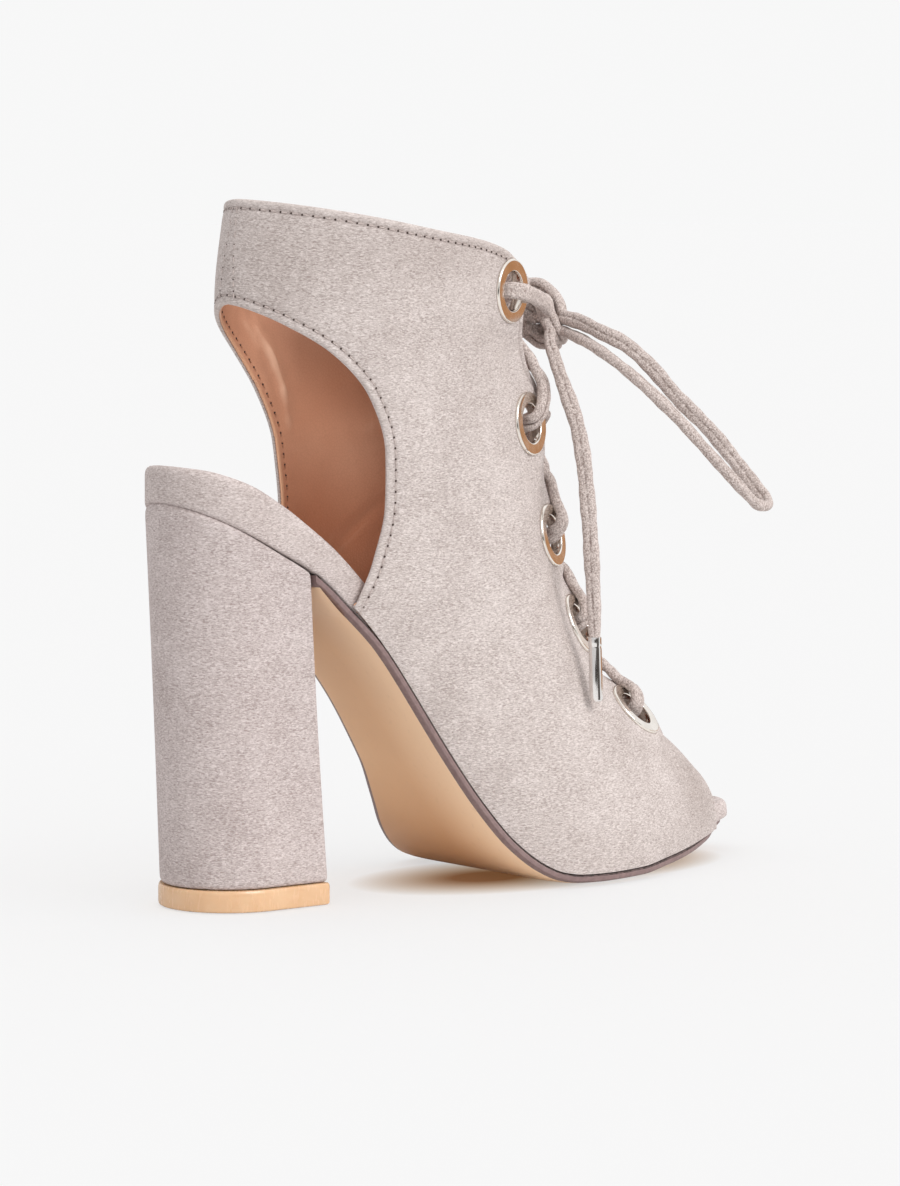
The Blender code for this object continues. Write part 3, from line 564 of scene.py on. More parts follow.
PLATE_LONGER, PLATE_WIDER = 1.022, 1.026  # than the heel's outline
points = []
for inset, z in PLATE_EDGE:
    ring = []
    for share, drawn in places:
        x, y = heel_outline(share)
        x, y = HEEL_MIDDLE + (x - HEEL_MIDDLE) * PLATE_LONGER, (y - drawn) * PLATE_WIDER
        away = Vector((x - HEEL_CORE, y)).normalized()
        ring.append((x - away.x * inset, max(y - away.y * inset, 0.05), z))
    points += [(x, -y, z) for x, y, z in ring] + list(reversed(ring))
faces = stacked(len(PLATE_EDGE), 2 * len(places))
settled(piece("heel_plate", points, faces, [top_plastic]), "top piece plastic", "heel_top_piece")

# Insole: a stiff board with a thin cushion, wrapped in suede that is turned under along its rim.
# It lies bare round the heel, runs under the foot inside the upper, and its tip shows at the toe.
insole_suede = suede("insole suede nap", (0.675, 0.60, 0.58, 1.0), (0.385, 0.32, 0.30, 1.0))


def insole_edge(x):
    """Steps of (inset, height) round the insole's rim, from its underside to its top."""
    thick = insole_thick(x)
    soft = min(3.2, thick * 0.45)
    steps = [(1.6, 0.0), (0.55, 0.02), (0.12, 0.35), (0.0, 1.0), (0.0, thick - soft)]
    for a in (18, 36, 54, 72, 86):
        turn = math.radians(a)
        steps.append((soft * (1 - math.cos(turn)) * 0.9, thick - soft + soft * math.sin(turn)))
    return steps + [(4.4, thick + 0.12)]


points, faces, zones = board(outline(0.0, lambda x: 0.0), insole_edge, 0.6)
settled(piece("insole_board", points, faces, [insole_suede], sharp=60), "insole suede", "insole")

# Upper: suede bonded to a lining, closed over the last from toe opening to heel strap and cut away at
# the heel sides. Its free edges are turned and stitched, and the lace draws the flaps in at each eyelet.
SUEDE_THICK, WALL = 1.25, 1.85
THROAT_START, QUARTER_REAR, COLLAR, HIGH_QUARTER = 1.55, 9.0, 13.0, 7.6
CORNER, CORNER_ROUND = 3 / 7, 0.085
SEAM = 2.5  # from a free edge to its row of stitches
COLLAR_RISE, COLLAR_BOW = 0.8, 1.1
COLLAR_FROM, BOW_MIDDLE, BOW_REACH = 11, 93, 17  # the section where the rise begins, and x of the bow
THROAT_ROUND = 0.45  # sections over which the throat opens in a round
OVER_RIM = 2.1  # from the insole's rim to the outside of the wall
DRAWN_REACH, SLACK, DRAWN_IN = 0.42, 0.9, 2.2  # of the flap's edge at and between the eyelets
# From the toe opening to the collar: foot and top of each section in side view, outer and inner half
# width, level of the widest line, fullness above and below it, angle where the flap lies flat, middle, and
# half the throat gap.
SECTIONS = [
    (185.5, 7.5, 181.5, 27.0, 16.4, 16.4, 0.30, 1.0, 1.0, 90, 2.8, 4.0),
    (177.0, 6.6, 175.0, 33.0, 20.8, 20.6, 0.26, 1.0, 1.0, 90, 2.5, 4.4),
    (164.5, 5.2, 164.4, 41.0, 26.9, 26.6, 0.20, 1.1, 1.0, 76, 1.9, 5.0),
    (149.0, 3.8, 147.8, 53.5, 33.0, 32.5, 0.16, 1.25, 1.0, 58, 1.3, 6.2),
    (131.0, 3.0, 135.8, 69.0, 37.2, 36.8, 0.14, 1.35, 1.0, 46, 0.9, 7.4),
    (113.5, 3.0, 127.0, 86.0, 37.0, 36.6, 0.16, 1.35, 1.0, 42, 0.6, 8.6),
    (96.0, 13.4, 122.2, 103.5, 33.5, 33.0, 0.22, 1.3, 1.0, 40, 0.4, 9.8),
    (79.0, 37.0, 119.9, 121.0, 29.6, 28.4, 0.30, 1.2, 1.0, 38, 0.2, 11.0),
    (62.5, 61.6, 117.3, 137.0, 27.6, 26.4, 0.35, 1.15, 1.0, 38, 0.0, 12.0),
    (47.5, 78.9, 115.6, 149.5, 26.6, 26.0, 0.40, 1.1, 1.0, 38, 0.0, 12.8),
    (30.0, 103.0, 114.2, 157.0, 27.0, 26.6, 0.42, 1.05, 1.15, 38, 0.0, 13.2),
    (22.0, 131.0, 113.3, 162.0, 28.0, 27.6, 0.43, 1.0, 1.2, 38, 0.0, 13.5),
    (21.5, 158.4, 112.6, 166.0, 28.6, 28.4, 0.43, 1.0, 1.25, 38, 0.0, 13.8),
    (25.0, 185.5, 112.0, 169.4, 29.5, 29.5, 0.43, 1.0, 1.3, 38, 0.0, 14.0),
]
CUT_OUT = [(47.5, 78.9), (53.3, 91.0), (56.3, 105.0), (55.5, 120.0),
           (50.0, 134.0), (40.0, 145.5), (30.0, 152.8), (21.5, 158.4)]
(low_x, low_z, top_x, top_z, outer_wide, inner_wide, widest, front, rear, flat, ridge, gap) = (
    curve(list(range(len(SECTIONS))), column) for column in zip(*SECTIONS)
)


def wide(side, k):
    return (outer_wide if side == OUTER else inner_wide)(k)


def foot(k):
    """The foot of section k in side view: on the sole, or on the back line of the heel."""
    x = low_x(k)
    return x, seat(x) if k <= QUARTER_REAR else low_z(k)


def foot_angle(side, k):
    """How far below its widest line section k reaches, in degrees."""
    on_sole = min(max(QUARTER_REAR + 1 - k, 0.0), 1.0)
    low = side * (rim(side, low_x(k)) + side * OVER_RIM - ridge(k))
    share = min(max(on_sole * low / wide(side, k), 0.0), 0.995) ** (1 / rear(k))
    return math.degrees(math.acos(share))


def upper_point(side, k, angle):
    """A point of the upper's outside. Angle runs from the foot of the wall, below 0, to 90 on the ridge."""
    x, z = foot(k)
    if angle > 0:
        power = front(k)
        a = math.radians(min(angle, flat(k)))
        up, across = math.sin(a), max(math.cos(a), 0.0) ** power
        if angle > flat(k):
            past = math.radians(angle - flat(k))
            up += past * math.cos(a)
            across -= past * power * math.sin(a) * math.cos(a) ** (power - 1)
        share = widest(k) + (1 - widest(k)) * up
    else:
        a = math.radians(angle)
        share = widest(k) * (1 + math.sin(a) / math.sin(math.radians(foot_angle(side, k))))
        across = max(math.cos(a), 0.0) ** rear(k)
    x, z = x + (top_x(k) - x) * share, z + (top_z(k) - z) * share
    if k > COLLAR_FROM:
        bow = COLLAR_BOW * math.exp(-(((x - BOW_MIDDLE) / BOW_REACH) ** 2))
        z += ((k - COLLAR_FROM) / 2) ** 2 * (COLLAR_RISE + bow)
    return Vector((x, ridge(k) + side * wide(side, k) * across, z))


def halved(low, high, times, holds):
    """The place between low and high up to which a test holds, found by halving."""
    for _ in range(times):
        middle = (low + high) / 2
        low, high = (middle, high) if holds(middle) else (low, middle)
    return low


def throat_at(side, k, half_gap):
    """The angle of section k that lies half a gap from the middle."""
    return halved(0.0, 110.0, 26, lambda a: side * (upper_point(side, k, a).y - ridge(k)) > half_gap)


def opened(k):
    """How far the throat has opened at section k, from 0 at its start to 1."""
    along = min(max((k - THROAT_START) / THROAT_ROUND, 0.0), 1.0)
    return math.sqrt(along * (2 - along))


throat_places = [THROAT_START + THROAT_ROUND * u * u for u in np.linspace(0, 1, 14)]
throat_places += list(np.linspace(2.0, COLLAR, 45)[1:])
throat_angle = {
    side: curve(throat_places, [throat_at(side, k, gap(k) * opened(k)) for k in throat_places])
    for side in (OUTER, INNER)
}

# Each eyelet's place on the flap, read from the frame: where its flange lies and which way it faces.
FLANGE = 1.15
EYELET_LEAN = [0.20, 0.20, 0.22, 0.06, 0.0]  # from the lowest up, leant back by the pull of the lace
holes = {OUTER: [], INNER: []}
for side, rows in holes.items():
    for number in range(1, 6):
        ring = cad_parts[f"eyelet_{SIDE_NAME[side]}_{number}"]
        spots = np.array([v.co for v in ring.data.vertices], float) / MM + (HEEL_MIDDLE, 0.0, 0.0)
        middle = spots.mean(0)
        axis = np.linalg.svd(spots - middle, full_matrices=False)[2][2]
        axis *= 1 if axis[1] * side > 0 else -1
        reach = ((spots - middle) @ axis).max()
        leant = Vector(axis) + Vector((toward.x, -side * toward.y, toward.z)) * EYELET_LEAN[number - 1]
        rows.append((Vector(middle + axis * (reach - FLANGE)), leant.normalized()))


def eyelet_section(side, middle):
    """The section nearest an eyelet, on the line that the eyelets follow."""

    def away(k):
        edge = upper_point(side, k, throat_angle[side](k))
        return (edge.lerp(upper_point(side, k, 20.0), 0.25) - middle).length

    return float(min(np.linspace(2.0, COLLAR, 200), key=away))


eyelet_k = {side: [eyelet_section(side, middle) for middle, _ in rows] for side, rows in holes.items()}


def flap_edge(side, k):
    """Where the flap ends on section k: drawn in at the eyelets and slack between them."""
    drawn = sum(math.exp(-(((k - e) / DRAWN_REACH) ** 2)) for e in eyelet_k[side])
    slack = (SLACK - DRAWN_IN * drawn) * min(max((k - 2.0) / 0.5, 0.0), 1.0)
    return throat_at(side, k, max(gap(k) * opened(k) + slack, 0.0))


flap_angle = {
    side: curve(throat_places, [flap_edge(side, k) for k in throat_places]) for side in (OUTER, INNER)
}
cut_steps = [i / (len(CUT_OUT) - 1) for i in range(len(CUT_OUT))]
cut_x, cut_z = (curve(cut_steps, column) for column in zip(*CUT_OUT))


def on_section(x, z, side):
    """The section and angle at which the upper's side view passes through (x, z)."""
    low, high = QUARTER_REAR, COLLAR
    for _ in range(30):
        k = (low + high) / 2
        foot_x, foot_z = foot(k)
        run, rise = top_x(k) - foot_x, top_z(k) - foot_z
        if (z - foot_z) * run > (x - foot_x) * rise:
            low = k
        else:
            high = k
    share = ((x - foot_x) * run + (z - foot_z) * rise) / (run * run + rise * rise)
    if share < widest(k):
        sine = (share / widest(k) - 1) * math.sin(math.radians(foot_angle(side, k)))
    else:
        sine = (share - widest(k)) / (1 - widest(k))
    return k, math.degrees(math.asin(min(max(sine, -1.0), 1.0)))


def rim_end(side, s):
    """Where the rib at s round the open heel ends above: up the throat, then back along the collar."""
    if s < CORNER:
        k = HIGH_QUARTER + (COLLAR - HIGH_QUARTER) * s / CORNER
        return np.array([k, flap_angle[side](k)])
    corner = flap_angle[side](COLLAR)
    return np.array([COLLAR, corner + (-90.0 - corner) * (s - CORNER) / (1 - CORNER)])


def upper_ribs(side):
    """The two ends of each rib, from lower edge to ridge, throat or collar, and the kind of each end."""
    ribs = []
    for k in [0.0, 0.02, 0.05, 0.1, 0.16, 0.24, 0.34, *np.arange(0.46, THROAT_START, 0.14), THROAT_START]:
        ribs.append((k, -foot_angle(side, k), k, 90.0, "vamp"))
    for s in np.linspace(0.0, 1.0, 92)[1:]:
        k = THROAT_START + (QUARTER_REAR - THROAT_START) * s**1.25
        high = THROAT_START + (HIGH_QUARTER - THROAT_START) * s**1.25
        ribs.append((k, -foot_angle(side, k), high, flap_angle[side](high), "quarter"))
    for s in np.linspace(0.0, 1.0, 92)[1:]:
        k, angle = on_section(cut_x(s), cut_z(s), side)
        about = max(CORNER_ROUND - abs(s - CORNER), 0.0)
        high, end = np.mean([rim_end(side, s + d) for d in np.linspace(-about, about, 9)], axis=0)
        ribs.append((k, angle if s < 1 else -90.0, high, end, "heel side"))
    return ribs


EDGE_STEPS = [0.0, 0.12, 0.32, 0.62, 1.0, 1.45, 1.95, 2.5, 3.05, 3.8, 5.0]
sheet_points, sheet_faces, index = [], [], {}
rib_kinds = []
columns = 2 * len(EDGE_STEPS) + 46
for side in (OUTER, INNER):
    ribs = upper_ribs(side)
    for r, (k0, a0, k1, a1, kind) in enumerate(ribs):
        rough = [upper_point(side, k0 + (k1 - k0) * t, a0 + (a1 - a0) * t) for t in np.linspace(0, 1, 25)]
        far = np.concatenate([[0.0], np.cumsum([(b - a).length for a, b in zip(rough, rough[1:])])])
        ends = [*EDGE_STEPS, *(far[-1] - e for e in reversed(EDGE_STEPS))]
        between = np.linspace(EDGE_STEPS[-1], far[-1] - EDGE_STEPS[-1], 48)[1:-1]
        for c, d in enumerate(sorted([*ends, *between])):
            if side == INNER and (r == len(ribs) - 1 or (kind == "vamp" and c == columns - 1)):
                index[side, r, c] = index[OUTER, r, c]
                continue
            t = float(np.interp(d, far, np.linspace(0, 1, 25)))
            index[side, r, c] = len(sheet_points)
            sheet_points.append(upper_point(side, k0 + (k1 - k0) * t, a0 + (a1 - a0) * t))
    rib_kinds = [rib[4] for rib in ribs]
    for r in range(len(ribs) - 1):
        for c in range(columns - 1):
            corners = [index[side, r + down, c + on] for down, on in ((0, 0), (0, 1), (1, 1), (1, 0))]
            sheet_faces.append(corners if side == OUTER else corners[::-1])
sheet = np.array(sheet_points, float)


def smooth(x, low, high):
    """0 below low, 1 above high, and a soft step between."""
    t = np.clip((x - low) / (high - low), 0.0, 1.0)
    return t * t * (3 - 2 * t)


# Soft dents, pressed in by hand: x, z and side of the middle, reach along x and z, lean and depth.
DENTS = [
    (160.0, 36.0, OUTER, 10.0, 4.0, -0.7, 0.8), (150.0, 45.0, OUTER, 8.0, 3.0, -0.6, 0.7),
    (168.0, 24.0, OUTER, 9.0, 6.0, 0.3, 0.5), (121.0, 75.0, OUTER, 4.0, 9.0, 0.2, 0.8),
    (112.0, 110.0, OUTER, 4.0, 11.0, 0.1, 0.9), (104.0, 145.0, OUTER, 4.0, 12.0, 0.1, 0.9),
    (84.0, 70.0, OUTER, 14.0, 9.0, 0.6, 0.9), (72.0, 150.0, OUTER, 12.0, 8.0, 0.2, 0.6),
    (156.8, 33.2, OUTER, 4.0, 1.8, -0.95, 1.0), (163.0, 28.0, OUTER, 4.4, 1.8, -0.95, 1.1),
    (149.0, 39.0, OUTER, 5.0, 2.4, -1.0, 0.8), (141.0, 52.0, OUTER, 6.5, 2.6, -1.1, 0.7),
    (157.0, 33.0, INNER, 4.2, 1.8, -0.95, 0.9), (149.0, 40.0, INNER, 5.0, 2.4, -1.0, 0.7),
    (158.0, 36.0, INNER, 10.0, 4.0, -0.6, 0.8), (148.0, 48.0, INNER, 8.0, 3.0, -0.6, 0.7),
    (118.0, 80.0, INNER, 4.0, 10.0, 0.2, 0.9), (106.0, 140.0, INNER, 4.0, 12.0, 0.1, 0.9),
    (86.0, 72.0, INNER, 14.0, 10.0, 0.6, 0.9), (68.0, 148.0, INNER, 12.0, 8.0, 0.2, 0.6),
]


def sheet_normals(points):
    """The way out of the sheet at each of its points."""
    quads = np.array(sheet_faces)
    across = np.cross(points[quads[:, 2]] - points[quads[:, 0]], points[quads[:, 3]] - points[quads[:, 1]])
    total = np.zeros_like(points)
    for corner in range(4):
        np.add.at(total, quads[:, corner], across)
    return total / np.maximum(np.linalg.norm(total, axis=1), 1e-9)[:, None]


normals = sheet_normals(sheet)
if (normals[:, 1] * sheet[:, 1]).sum() < 0:
    sheet_faces = [f[::-1] for f in sheet_faces]
    normals = -normals
for x, z, side, long, tall, lean, depth in DENTS:
    u, w = sheet[:, 0] - x, sheet[:, 2] - z
    u, w = u * math.cos(lean) + w * math.sin(lean), w * math.cos(lean) - u * math.sin(lean)
    pressed = depth * np.exp(-((u / long) ** 2) - (w / tall) ** 2) * (sheet[:, 1] * side > 4)
    sheet -= normals * pressed[:, None]

# Round each eyelet the flap lies flat under the flange, and the hole is punched out.
HOLE, FLAT_TO, SOFT_TO, FLAT_HIGH, FAR_OFF = 6.1, 9.3, 16.0, 9.0, 99.0
punched = np.zeros(len(sheet), int) - 1
hole_near = np.full(len(sheet), FAR_OFF)
for number, (middle, axis) in enumerate(holes[OUTER] + holes[INNER]):
    n = np.array(axis)
    off = sheet - np.array(middle)
    high = off @ n
    flat_off = off - high[:, None] * n
    r = np.linalg.norm(flat_off, axis=1)
    near = (1 - smooth(r, FLAT_TO, SOFT_TO)) * (np.abs(high) < FLAT_HIGH)
    sheet += n * ((-0.06 - high) * near)[:, None]
    close = (r < HOLE + 4) & (np.abs(high) < FLAT_HIGH)
    punched[close] = number
    hole_near = np.minimum(hole_near, np.where(close, r, FAR_OFF))
# The free edge of flap and collar runs in a soft line.
first_flap = rib_kinds.index("quarter")
for side in (OUTER, INNER):
    for c in range(len(EDGE_STEPS) - 1):
        line = [index[side, r, columns - 1 - c] for r in range(first_flap, len(rib_kinds))]
        soft = sheet[line].copy()
        for _ in range(6):
            soft[1:-1] = (soft[:-2] + 2 * soft[1:-1] + soft[2:]) / 4
        sheet[line] += (soft - sheet[line]) * min(1.0, (5.0 - EDGE_STEPS[c]) / 2.5)
kept_faces = [f for f in sheet_faces if np.mean(hole_near[f]) > HOLE - 0.2]
open_corners = {v for f in sheet_faces if np.mean(hole_near[f]) <= HOLE - 0.2 for v in f}
for v in open_corners & {v for f in kept_faces for v in f}:
    middle, axis = (holes[OUTER] + holes[INNER])[punched[v]]
    off = Vector(sheet[v]) - middle
    high = off.dot(axis)
    sheet[v] = middle + axis * high + (off - axis * high).normalized() * HOLE
sheet_faces = kept_faces
normals = sheet_normals(sheet)


def nearest(points):
    """A search for the nearest of some points."""
    tree = KDTree(len(points))
    for i, p in enumerate(points):
        tree.insert(p, i)
    tree.balance()
    return tree


# How far each point lies from a free edge: the toe opening, the throat, the collar and the heel sides.
ribs_count = len(rib_kinds)
free_lines = []
for side in (OUTER, INNER):
    free_lines.append([index[side, 0, c] for c in range(columns)])
    free_lines.append([index[side, r, columns - 1] for r in range(first_flap - 1, ribs_count)])
    free_lines.append([index[side, r, 0] for r in range(rib_kinds.index("heel side") - 1, ribs_count)])
spots = [
    sheet[a] + (sheet[b] - sheet[a]) * t
    for line in free_lines for a, b in zip(line, line[1:]) for t in np.linspace(0, 1, 6)
]
edge_tree = nearest(spots)
from_edge = np.array([edge_tree.find(p)[2] for p in sheet])

# Painted shade on the suede, over soft dents by the vamp and toe and along the collar: x, z, reach along x
# and z, and how much.
SHADE_PATCHES = [
    (68.0, 172.0, 26.0, 9.0, 0.62), (104.0, 176.0, 9.0, 8.0, 0.35), (30.0, 170.0, 9.0, 14.0, 0.3),
    (172.0, 20.0, 13.0, 13.0, 0.9), (118.0, 88.0, 5.0, 22.0, 0.3), (92.0, 148.0, 15.0, 16.0, 0.3),
    (124.0, 46.5, 4.0, 5.5, 0.3), (134.0, 39.2, 5.0, 3.8, 0.32), (145.0, 34.2, 5.0, 2.6, 0.34),
    (157.5, 29.2, 4.5, 2.2, 0.34),
]
shade_patches = np.zeros(len(sheet))
for x, z, long, tall, share in SHADE_PATCHES:
    shade_patches += share * np.exp(-(((sheet[:, 0] - x) / long) ** 2) - ((sheet[:, 2] - z) / tall) ** 2)
sewn = np.ones(len(sheet))
for side in (OUTER, INNER):
    for r, kind in enumerate(rib_kinds):
        for c in range(columns // 2 if kind == "quarter" else 0, columns):
            sewn[index[side, r, c]] = 0.0 if kind in ("vamp", "quarter") else 1.0


def keep_marks(made, points, marks):
    """Values for the finish, kept at each corner of a piece from the nearest point it was made of."""
    tree = nearest(points)
    spots = [Vector((v.co.x / MM + HEEL_MIDDLE, v.co.y / MM, v.co.z / MM)) for v in made.data.vertices]
    found = [tree.find(p)[1] for p in spots]
    for label, values in marks.items():
        made.data.attributes.new(label, "FLOAT", "POINT")
        made.data.attributes[label].data.foreach_set("value", np.array(values)[found])


def wall(name, faces, outside, inside, finishes, marks):
    """A wall between two offsets of the upper's sheet, closed along every edge, with marks for its finish."""
    used = sorted({v for f in faces for v in f})
    new = {v: i for i, v in enumerate(used)}
    count = len(used)
    skin = [sheet[used] + normals[used] * off[used][:, None] for off in (outside, inside)]
    shell = [[new[v] for v in f] for f in faces]
    edges = {(a, b) for f in shell for a, b in zip(f, f[1:] + f[:1])}
    rims = [(b, a, a + count, b + count) for a, b in edges if (b, a) not in edges]
    shell += [[v + count for v in reversed(f)] for f in shell] + sorted(rims)
    made = piece(name, np.concatenate(skin), shell, finishes, sharp=70)
    both_sides = {label: np.tile(values[used], 2) for label, values in marks.items()}
    keep_marks(made, np.concatenate(skin), both_sides)
    return made


def eased(distance, radius):
    """How far a rounded edge falls away, by the distance from it."""
    inside = np.clip(radius - distance, 0.0, radius)
    return radius - np.sqrt(radius**2 - inside**2)


upper_suede = suede("upper suede nap", (0.705, 0.637, 0.612, 1.0), (0.382, 0.322, 0.30, 1.0), SEAM)
sunk = 0.24 * np.exp(-(((from_edge - SEAM) / 0.5) ** 2)) - 0.08 * np.exp(-(((from_edge - 1.3) / 0.6) ** 2))
outside = -eased(from_edge, 0.85) - sunk
inside = np.full(len(sheet), -SUEDE_THICK)
upper = wall("upper_suede", sheet_faces, outside, inside, [upper_suede],
             {"from_edge": from_edge, "shade_patches": shade_patches, "sewn": sewn})
settled(upper, "suede", "upper")

# Lining: smooth tan leather bonded inside the suede, its edge set back a little from the turned edge.
# It creases lightly where the ankle bends.
lining_leather, tree, shader, place = finish("tan lining leather", 0.5)
cells = {"Vector": place, "Scale": 1150.0}
pores = step(tree, "TexVoronoi", cells, feature="DISTANCE_TO_EDGE")["Distance"]
bent = {"Vector": place, "Rotation": (0.0, 0.6, 0.0), "Scale": (1.0, 1.0, 0.3)}
bent = step(tree, "Mapping", bent)["Vector"]
creases = noise(tree, bent, 75.0, 4.0, 1.1)
stain = noise(tree, place, 33.0, 3.0)
brown = tinted(tree, ranged(tree, stain, 0.3, 0.7), (0.52, 0.245, 0.145, 1.0), (0.60, 0.315, 0.20, 1.0))
brown = tinted(tree, ranged(tree, creases, 0.60, 0.72, 0.0, 0.35), brown, (0.68, 0.40, 0.27, 1.0))
brown = tinted(tree, ranged(tree, pores, 0.0, 0.12, 0.2, 0.0), brown, (0.34, 0.15, 0.085, 1.0))
spot = step(tree, "SeparateXYZ", {"Vector": place})
# Painted shade: the lining is painted darker high up towards the back, where the strap shades it.
strap_shade = product(tree, ranged(tree, spot["Z"], 0.124, 0.148), ranged(tree, spot["X"], 0.026, 0.042))
brown = tinted(tree, strap_shade, brown, (0.62, 0.58, 0.56, 1.0), "MULTIPLY")
# Painted shade: lower down the lining is painted darker and deeper in tone.
low = ranged(tree, spot["Z"], 0.098, 0.118, 1.0, 0.0)
brown = tinted(tree, low, brown, (0.90, 0.76, 0.68, 1.0), "MULTIPLY")
# Painted highlight and shade: each wrinkle's crest is painted lighter and the band beside it darker.
wrinkle_shading = marked(tree, "wrinkle_shading")
brown = tinted(tree, ranged(tree, wrinkle_shading, 0.1, 1.0, 0.0, 0.6), brown, (0.80, 0.52, 0.37, 1.0))
brown = tinted(tree, ranged(tree, wrinkle_shading, -1.0, -0.1, 0.5, 0.0), brown, (0.34, 0.16, 0.095, 1.0))
cut = ranged(tree, marked(tree, "from_edge"), 0.7, 1.3, 0.75, 0.0)
brown = tinted(tree, cut, brown, (0.72, 0.42, 0.26, 1.0))
tree.links.new(brown, shader.inputs["Base Color"])
tree.links.new(ranged(tree, stain, 0.3, 0.7, 0.42, 0.58), shader.inputs["Roughness"])
shader.inputs["Specular IOR Level"].default_value = 0.35
raised(tree, shader, weighed(tree, (pores, 0.5), (creases, 1.2)), 0.0003, 0.5)
lining_faces = [f for f in sheet_faces if from_edge[f].min() > 0.28]
dented = 0.12 * np.exp(-(((from_edge - SEAM) / 0.5) ** 2))
# Wrinkles in the lining: x and z of both ends, half width, and how far they stand in.
WRINKLES = [
    (43.0, 154.0, 51.0, 144.0, 1.6, 0.7), (48.0, 153.0, 57.0, 139.0, 1.5, 0.9),
    (53.0, 148.0, 60.0, 132.0, 1.6, 0.8), (58.0, 137.0, 61.0, 123.0, 1.5, 0.5),
    (77.0, 92.5, 93.0, 104.0, 1.3, -0.6), (84.0, 122.0, 97.0, 128.0, 2.4, 0.25),
]
# The wrinkle shading: a painted highlight on each crest and painted shade on the band beside it.
wrinkle_shading = np.zeros(len(sheet))
for x0, z0, x1, z1, half, high in WRINKLES:
    run = np.array([x1 - x0, z1 - z0])
    off = sheet[:, [0, 2]] - (x0, z0)
    t = np.clip(off @ run / (run @ run), 0.0, 1.0)
    away = np.linalg.norm(off - t[:, None] * run, axis=1)
    fold = high * np.exp(-((away / half) ** 2)) * np.clip(np.minimum(t, 1 - t) * 4 + 0.25, 0.0, 1.0)
    dented = dented - fold
    wrinkle_shading += fold - 0.35 * high * np.exp(-(((away - 2 * half) / half) ** 2))
lining = wall("lining", lining_faces, inside - 0.02, -WALL + eased(from_edge, 0.6) + dented, [lining_leather],
              {"from_edge": from_edge, "wrinkle_shading": wrinkle_shading})
settled(lining, "suede")
# A weak lamp by the camera, for the lining only.
FILL_STRENGTH, FILL_ANGLE, FILL_RISE = 1.4, 0.35, 0.12
fill = sun("fill lamp", toward + Vector((0.0, 0.0, FILL_RISE)), FILL_STRENGTH, FILL_ANGLE)
under_fill = bpy.data.collections.new("under the fill lamp")
under_fill.objects.link(lining)
fill.light_linking.receiver_collection = under_fill

# Stitching: one row of matching thread along the turned edges of collar and heel sides, and a row on each
# side of the middle of the back. Each stitch lies on the suede between two needle holes, and along the
# edges it shows again on the lining.
PITCH, STITCH_LONG, THREAD, NEEDLE = 2.9, 1.9, 0.42, 0.62


def repeated(name, shape_inputs):
    """A node tree that lays one shape at even steps along a path, turned with it, as a plain mesh."""
    group = bpy.data.node_groups.new(name, "GeometryNodeTree")
    group.is_modifier = True
    group.interface.new_socket("Path", in_out="INPUT", socket_type="NodeSocketGeometry")
    for label, kind in shape_inputs:
        group.interface.new_socket(label, in_out="INPUT", socket_type=kind)
    group.interface.new_socket("Geometry", in_out="OUTPUT", socket_type="NodeSocketGeometry")
    return group, group.nodes.new("NodeGroupInput").outputs, group.nodes.new("NodeGroupOutput").inputs[0]


def grow(group, kind, inputs, **settings):
    """One node of a geometry tree."""
    return node(group, "GeometryNode" + kind, inputs, **settings)


def kept_up(group):
    """The up direction that is kept at each point."""
    return grow(group, "InputNamedAttribute", {"Name": "up"}, data_type="FLOAT_VECTOR")["Attribute"]


def laid_on(group, points, shape, turned, material, result):
    """A shape laid on points, as a plain smooth mesh in one material."""
    inputs = {"Points": points, "Instance": shape, "Rotation": turned}
    rows = grow(group, "InstanceOnPoints", inputs)["Instances"]
    rows = grow(group, "RealizeInstances", {"Geometry": rows})["Geometry"]
    rows = grow(group, "SetShadeSmooth", {0: rows})[0]
    rows = grow(group, "SetMaterial", {"Geometry": rows, "Material": material})["Geometry"]
    group.links.new(rows, result)


row_tree, given, result = repeated("stitch row", [
    ("Pitch", "NodeSocketFloat"), ("Size", "NodeSocketVector"), ("Thread", "NodeSocketMaterial"),
])
line = grow(row_tree, "MeshToCurve", {"Mesh": given["Path"]})["Curve"]
line = grow(row_tree, "ResampleCurve", {"Curve": line, "Length": given["Pitch"]}, mode="LENGTH")["Curve"]
run = grow(row_tree, "InputTangent", {})["Tangent"]
turned = node(
    row_tree, "FunctionNodeAxesToRotation", {"Primary Axis": kept_up(row_tree), "Secondary Axis": run},
    primary_axis="Z", secondary_axis="X",
)["Rotation"]
bead = grow(row_tree, "MeshUVSphere", {"Segments": 10, "Rings": 6, "Radius": 0.5})["Mesh"]
bead = grow(row_tree, "Transform", {"Geometry": bead, "Scale": given["Size"]})["Geometry"]
laid_on(row_tree, line, bead, turned, given["Thread"], result)


def grown(name, points, ups, edges, group, values):
    """The plain mesh that a geometry tree makes from points with an up direction."""
    mesh = bpy.data.meshes.new(name)
    mesh.from_pydata([in_frame(p) for p in points], edges, [])
    mesh.attributes.new("up", "FLOAT_VECTOR", "POINT")
    mesh.attributes["up"].data.foreach_set("vector", np.array(ups, np.float32).ravel())
    holder = bpy.data.objects.new(name, mesh)
    scene.collection.objects.link(holder)
    modifier = holder.modifiers.new(name, "NODES")
    modifier.node_group = group
    sockets = {s.name: s.identifier for s in group.interface.items_tree if s.in_out == "INPUT"}
    for label, value in values.items():
        modifier[sockets[label]] = value
    bpy.context.view_layer.update()
    made = bpy.data.meshes.new_from_object(holder.evaluated_get(bpy.context.evaluated_depsgraph_get()))
    holder.modifiers.clear()
    holder.data = made
    bpy.data.meshes.remove(mesh)
    return holder


